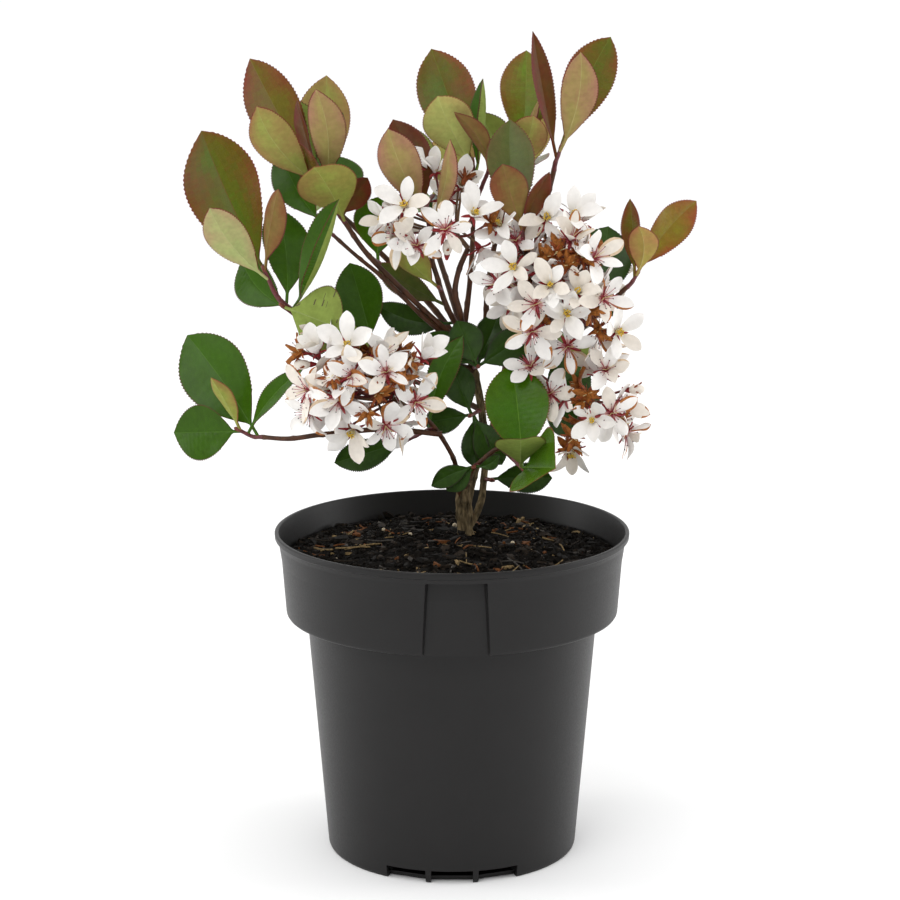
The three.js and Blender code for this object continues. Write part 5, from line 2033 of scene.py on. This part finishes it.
    def blade(
        self, place: Array, out: Array, radial: Array, cup: float, length: float, width: float
    ) -> Body:
        """Make a narrow pointed blade, such as a sepal, a bract or a withered petal.

        Args:
            place: Where it starts.
            out: The axis that its angle is from.
            radial: Its own way out from that axis.
            cup: Its angle from the axis at its middle.
            length: Its length.
            width: Its width near its foot.

        Returns:
            The closed body.
        """
        u = np.linspace(0, 1, 6)
        angle = np.radians(cup + 30 * (u - 0.5))
        along = np.outer(np.sin(angle), radial) + np.outer(np.cos(angle), out)
        middle = place + np.cumsum(along * (length / 5) * (u > 0)[:, None], 0)
        normal = np.outer(np.sin(angle), out) - np.outer(np.cos(angle), radial)
        across = np.cross(out, radial)
        half = np.maximum(width / 2 * (1 - u) ** 0.7 * (0.75 + u), 0.08)
        corners = [(1, 0.0), (0, 0.25), (-1, 0.0), (0, -0.15)]
        lines = [middle + across * (half * x)[:, None] + normal * (width * y) for x, y in corners]
        return sleeve(np.stack(lines, 1))

    def thread(
        self, start: Array, way: Array, bow: Array, length: float, radius: float
    ) -> tuple[Body, Array]:
        """Make a stamen's thread.

        Args:
            start: Its foot.
            way: Its direction at the foot.
            bow: The way that it curves.
            length: Its length.
            radius: Its radius.

        Returns:
            The closed body, and its tip.
        """
        tip = start + way * length * 0.95 + bow * length * 0.22
        route = Route([start, start + way * length * 0.5, tip], (radius, radius * 0.7))
        return route.tube(4, 4), route.at(1)

    def stamens_of(self, pile: Pile, place: Array, out: Array, stage: Stage, draw: Random) -> None:
        """Set the stamens and styles in the middle of a flower.

        Args:
            pile: The pile they go on.
            place: The middle of the flower.
            out: The way that it looks.
            stage: How far it has come.
            draw: Their source of chance.
        """
        fresh = stage in (Stage.FRESH, Stage.CUP)
        size = self.anthers[0] if fresh else self.anthers[1]
        body = self.cream if fresh else self.rose if stage is Stage.RIPE else self.rust
        side = unit(np.cross(out, [0.31, 0.17, 0.93]))
        for k in range(self.stamens):
            radial = turned(side, out, SPIRAL * k)
            lean = math.radians(stage.value.stamens * draw.uniform(0.35, 1.25))
            way = radial * math.sin(lean) + out * math.cos(lean)
            length = stage.value.reach * draw.uniform(0.75, 1.15)
            bow = -radial if fresh else radial
            thread, tip = self.thread(place + radial * 0.9, way, bow, length, self.stamen_radius)
            pile.add(thread, body)
            if stage is not Stage.SPENT or draw.random() < 0.5:
                pile.add(egg(tip, way, size, size * 0.75, 4, 6), self.pollen if fresh else self.anther)
        for k in range(self.styles):
            radial = turned(side, out, 180 * k + 40)
            way = unit(out + radial * 0.35)
            thread, _ = self.thread(place, way, radial, stage.value.reach * 0.95, self.style_radius)
            pile.add(thread, self.cream)

    def flower(
        self, piles: Piles, place: Array, out: Array, foot: Array, bloom: Bloom, draw: Random
    ) -> None:
        """Make a flower with its stalk.

        Args:
            piles: The piles for petals, stalks and stamens.
            place: The middle of the flower.
            out: The way that it looks.
            foot: Where its stalk leaves the head's stem.
            bloom: Its stage, spin and cup.
            draw: Its source of chance.
        """
        stage = bloom.stage
        upright = UP - out * (out @ UP)
        start = unit(upright) if np.linalg.norm(upright) > 0.2 else unit(np.cross(out, [1.0, 0, 0]))
        start = turned(start, out, -bloom.spin if out[1] < 0 else bloom.spin)
        base = place - out * self.neck
        neck = (foot + base) / 2 - out * 2.5 + UP * -1.0
        stem = self.stalk_red if draw.random() < 0.5 else self.stalk
        piles["stalks"].add(Route([foot, neck, base], (0.75, 0.6)).tube(10, 7), stem)
        cone = Route([base, place - out * 1.6, place + out * 0.3], (0.7, 1.5, 1.35))
        piles["stalks"].add(cone.tube(6, 9), self.rust if stage is Stage.SPENT else self.red)
        worn = self.rust if stage in (Stage.SPENT, Stage.BUD) else self.red
        for k in range(self.petals):
            radial = turned(start, out, 72 * k + 36)
            length = self.sepal * draw.uniform(0.85, 1.1)
            cup = stage.value.sepals + draw.normal(0, 7)
            start_at = place - out * 0.6 + radial * 1.1
            sepal = self.blade(start_at, out, radial, cup, length, self.sepal_width)
            piles["stalks"].add(sepal, worn)
        if stage is Stage.BUD:
            # a bud wears the darker copy of the petal white: painted shade
            piles["petals"].add(egg(place + out * 3.2, out, 4.6, 2.5, 8, 12), self.shade)
            return
        self.stamens_of(piles["stamens"], place, out, stage, draw)
        if stage is Stage.SPENT:
            for k in range(draw.integers(3, 6)):
                radial = turned(start, out, draw.uniform(0, 360))
                cup, length, width = draw.uniform(20, 100), draw.uniform(6, 11), draw.uniform(3, 5)
                piles["petals"].add(self.blade(place, out, radial, cup, length, width), self.wither)
            return
        missing = draw.integers(5) if stage is Stage.RIPE and draw.random() < 0.15 else -1
        for k in range(self.petals):
            if k == missing:
                continue
            radial = turned(start, out, 72 * k + draw.normal(0, 10))
            size = draw.uniform(0.8, 1.1)
            body = self.petal(place, out, radial, bloom.cup + draw.normal(0, 13), size, draw)
            piles["petals"].add(body, self.petal_slots(piles["petals"], stage, draw))


@dataclass
class Blossom:
    """The heads of flowers, each on its limb."""

    routes: dict[str, Route]
    maker: FlowerMaker = field(default_factory=FlowerMaker)

    def build(self) -> None:
        """Make every head, and join petals, stalks and stamens apart."""
        piles = {part: Pile(f"blossom_{part}") for part in ("petals", "stalks", "stamens")}
        for head in HEADS:
            self.grow_head(piles, head)
        piles["petals"].finish("blossom", *(head.name for head in HEADS))
        piles["stalks"].finish("twig")
        piles["stamens"].finish("blossom")

    @staticmethod
    def places(head: Head) -> list[tuple[Array, Bloom]]:
        """Find each flower's place by the solids' rule: on the outside of a rounded space.

        Args:
            head: The head.

        Returns:
            Each flower's place from the head's middle, and what it is.
        """
        wide, deep, tall = head.half
        found = []
        for bloom in head.front:
            left = max(0.06, 1 - (bloom.across / wide) ** 2 - (bloom.up / tall) ** 2)
            found.append((np.array([bloom.across, -deep * math.sqrt(left) * bloom.depth, bloom.up]), bloom))
        stages = (Stage.RIPE, Stage.FRESH, Stage.RIPE, Stage.SPENT, Stage.RIPE, Stage.CUP)
        for k in range(head.rest):
            around = math.radians(SPIRAL) * k
            height = (2 * k + 1) / head.rest - 1 if head.front else 0.95 - 1.7 * k / head.rest
            level = math.sqrt(1 - height**2)
            y = abs(math.sin(around)) if head.front else math.sin(around)
            spot = np.array([wide * level * math.cos(around), deep * level * y, tall * height])
            found.append((spot, Bloom(0, 0, stages[k % len(stages)], 40 * k, cup=62 + 5 * (k % 4))))
        return found

    def grow_head(self, piles: Piles, head: Head) -> None:
        """Grow one head: its stem, the flowers on its outside, and withered ones within.

        Args:
            piles: The piles for petals, stalks and stamens.
            head: The head.
        """
        limb = self.routes[head.on]
        middle = np.array(head.middle, float)
        foot = limb.at(1)
        stem = Route([foot, foot + (middle - foot) * 0.5, middle], (limb.radius(1), 0.9))
        rough = Relief(ridge=0.05, scar=0.2, scar_gap=5, seed=head.seed)
        piles["stalks"].add(stem.tube(20, 9, rough), self.maker.stalk)
        draw, uneven = Draw(head.seed), np.random.default_rng(head.seed)
        wide, deep, tall = head.half
        for offset, bloom in self.places(head):
            out = unit(offset / np.array([wide**2, deep**2, tall**2]))
            if bloom.look:
                out = unit(np.array([bloom.look[0], -1.0, bloom.look[1]]))
            place = middle + offset * 0.86
            root = stem.at(0.35 + 0.6 * draw())
            draw(), draw()
            self.maker.flower(piles, place, out, root, bloom, uneven)
        for k in range(head.inner):
            way = unit(uneven.normal(0, 1, 3) + [0, -0.6, 0.3])
            offset = way * np.array(head.half) * uneven.uniform(0.45, 0.68)
            stage = Stage.SPENT if uneven.random() < 0.5 else Stage.RIPE
            look = unit(way + uneven.normal(0, 0.35, 3))
            bloom = Bloom(0, 0, stage, 50 * k, cup=66)
            self.maker.flower(piles, middle + offset, look, stem.at(0.5), bloom, uneven)


def main() -> None:
    """Build the studio, then the plant from its pot to its blossom."""
    logging.basicConfig(level=logging.INFO, format="%(name)s %(message)s")
    Studio().build()
    Pot().build()
    PottingMix().build()
    wood = Wood()
    wood.build()
    Foliage(wood.routes).build()
    Blossom(wood.routes).build()


if __name__ == "__main__":
    main()
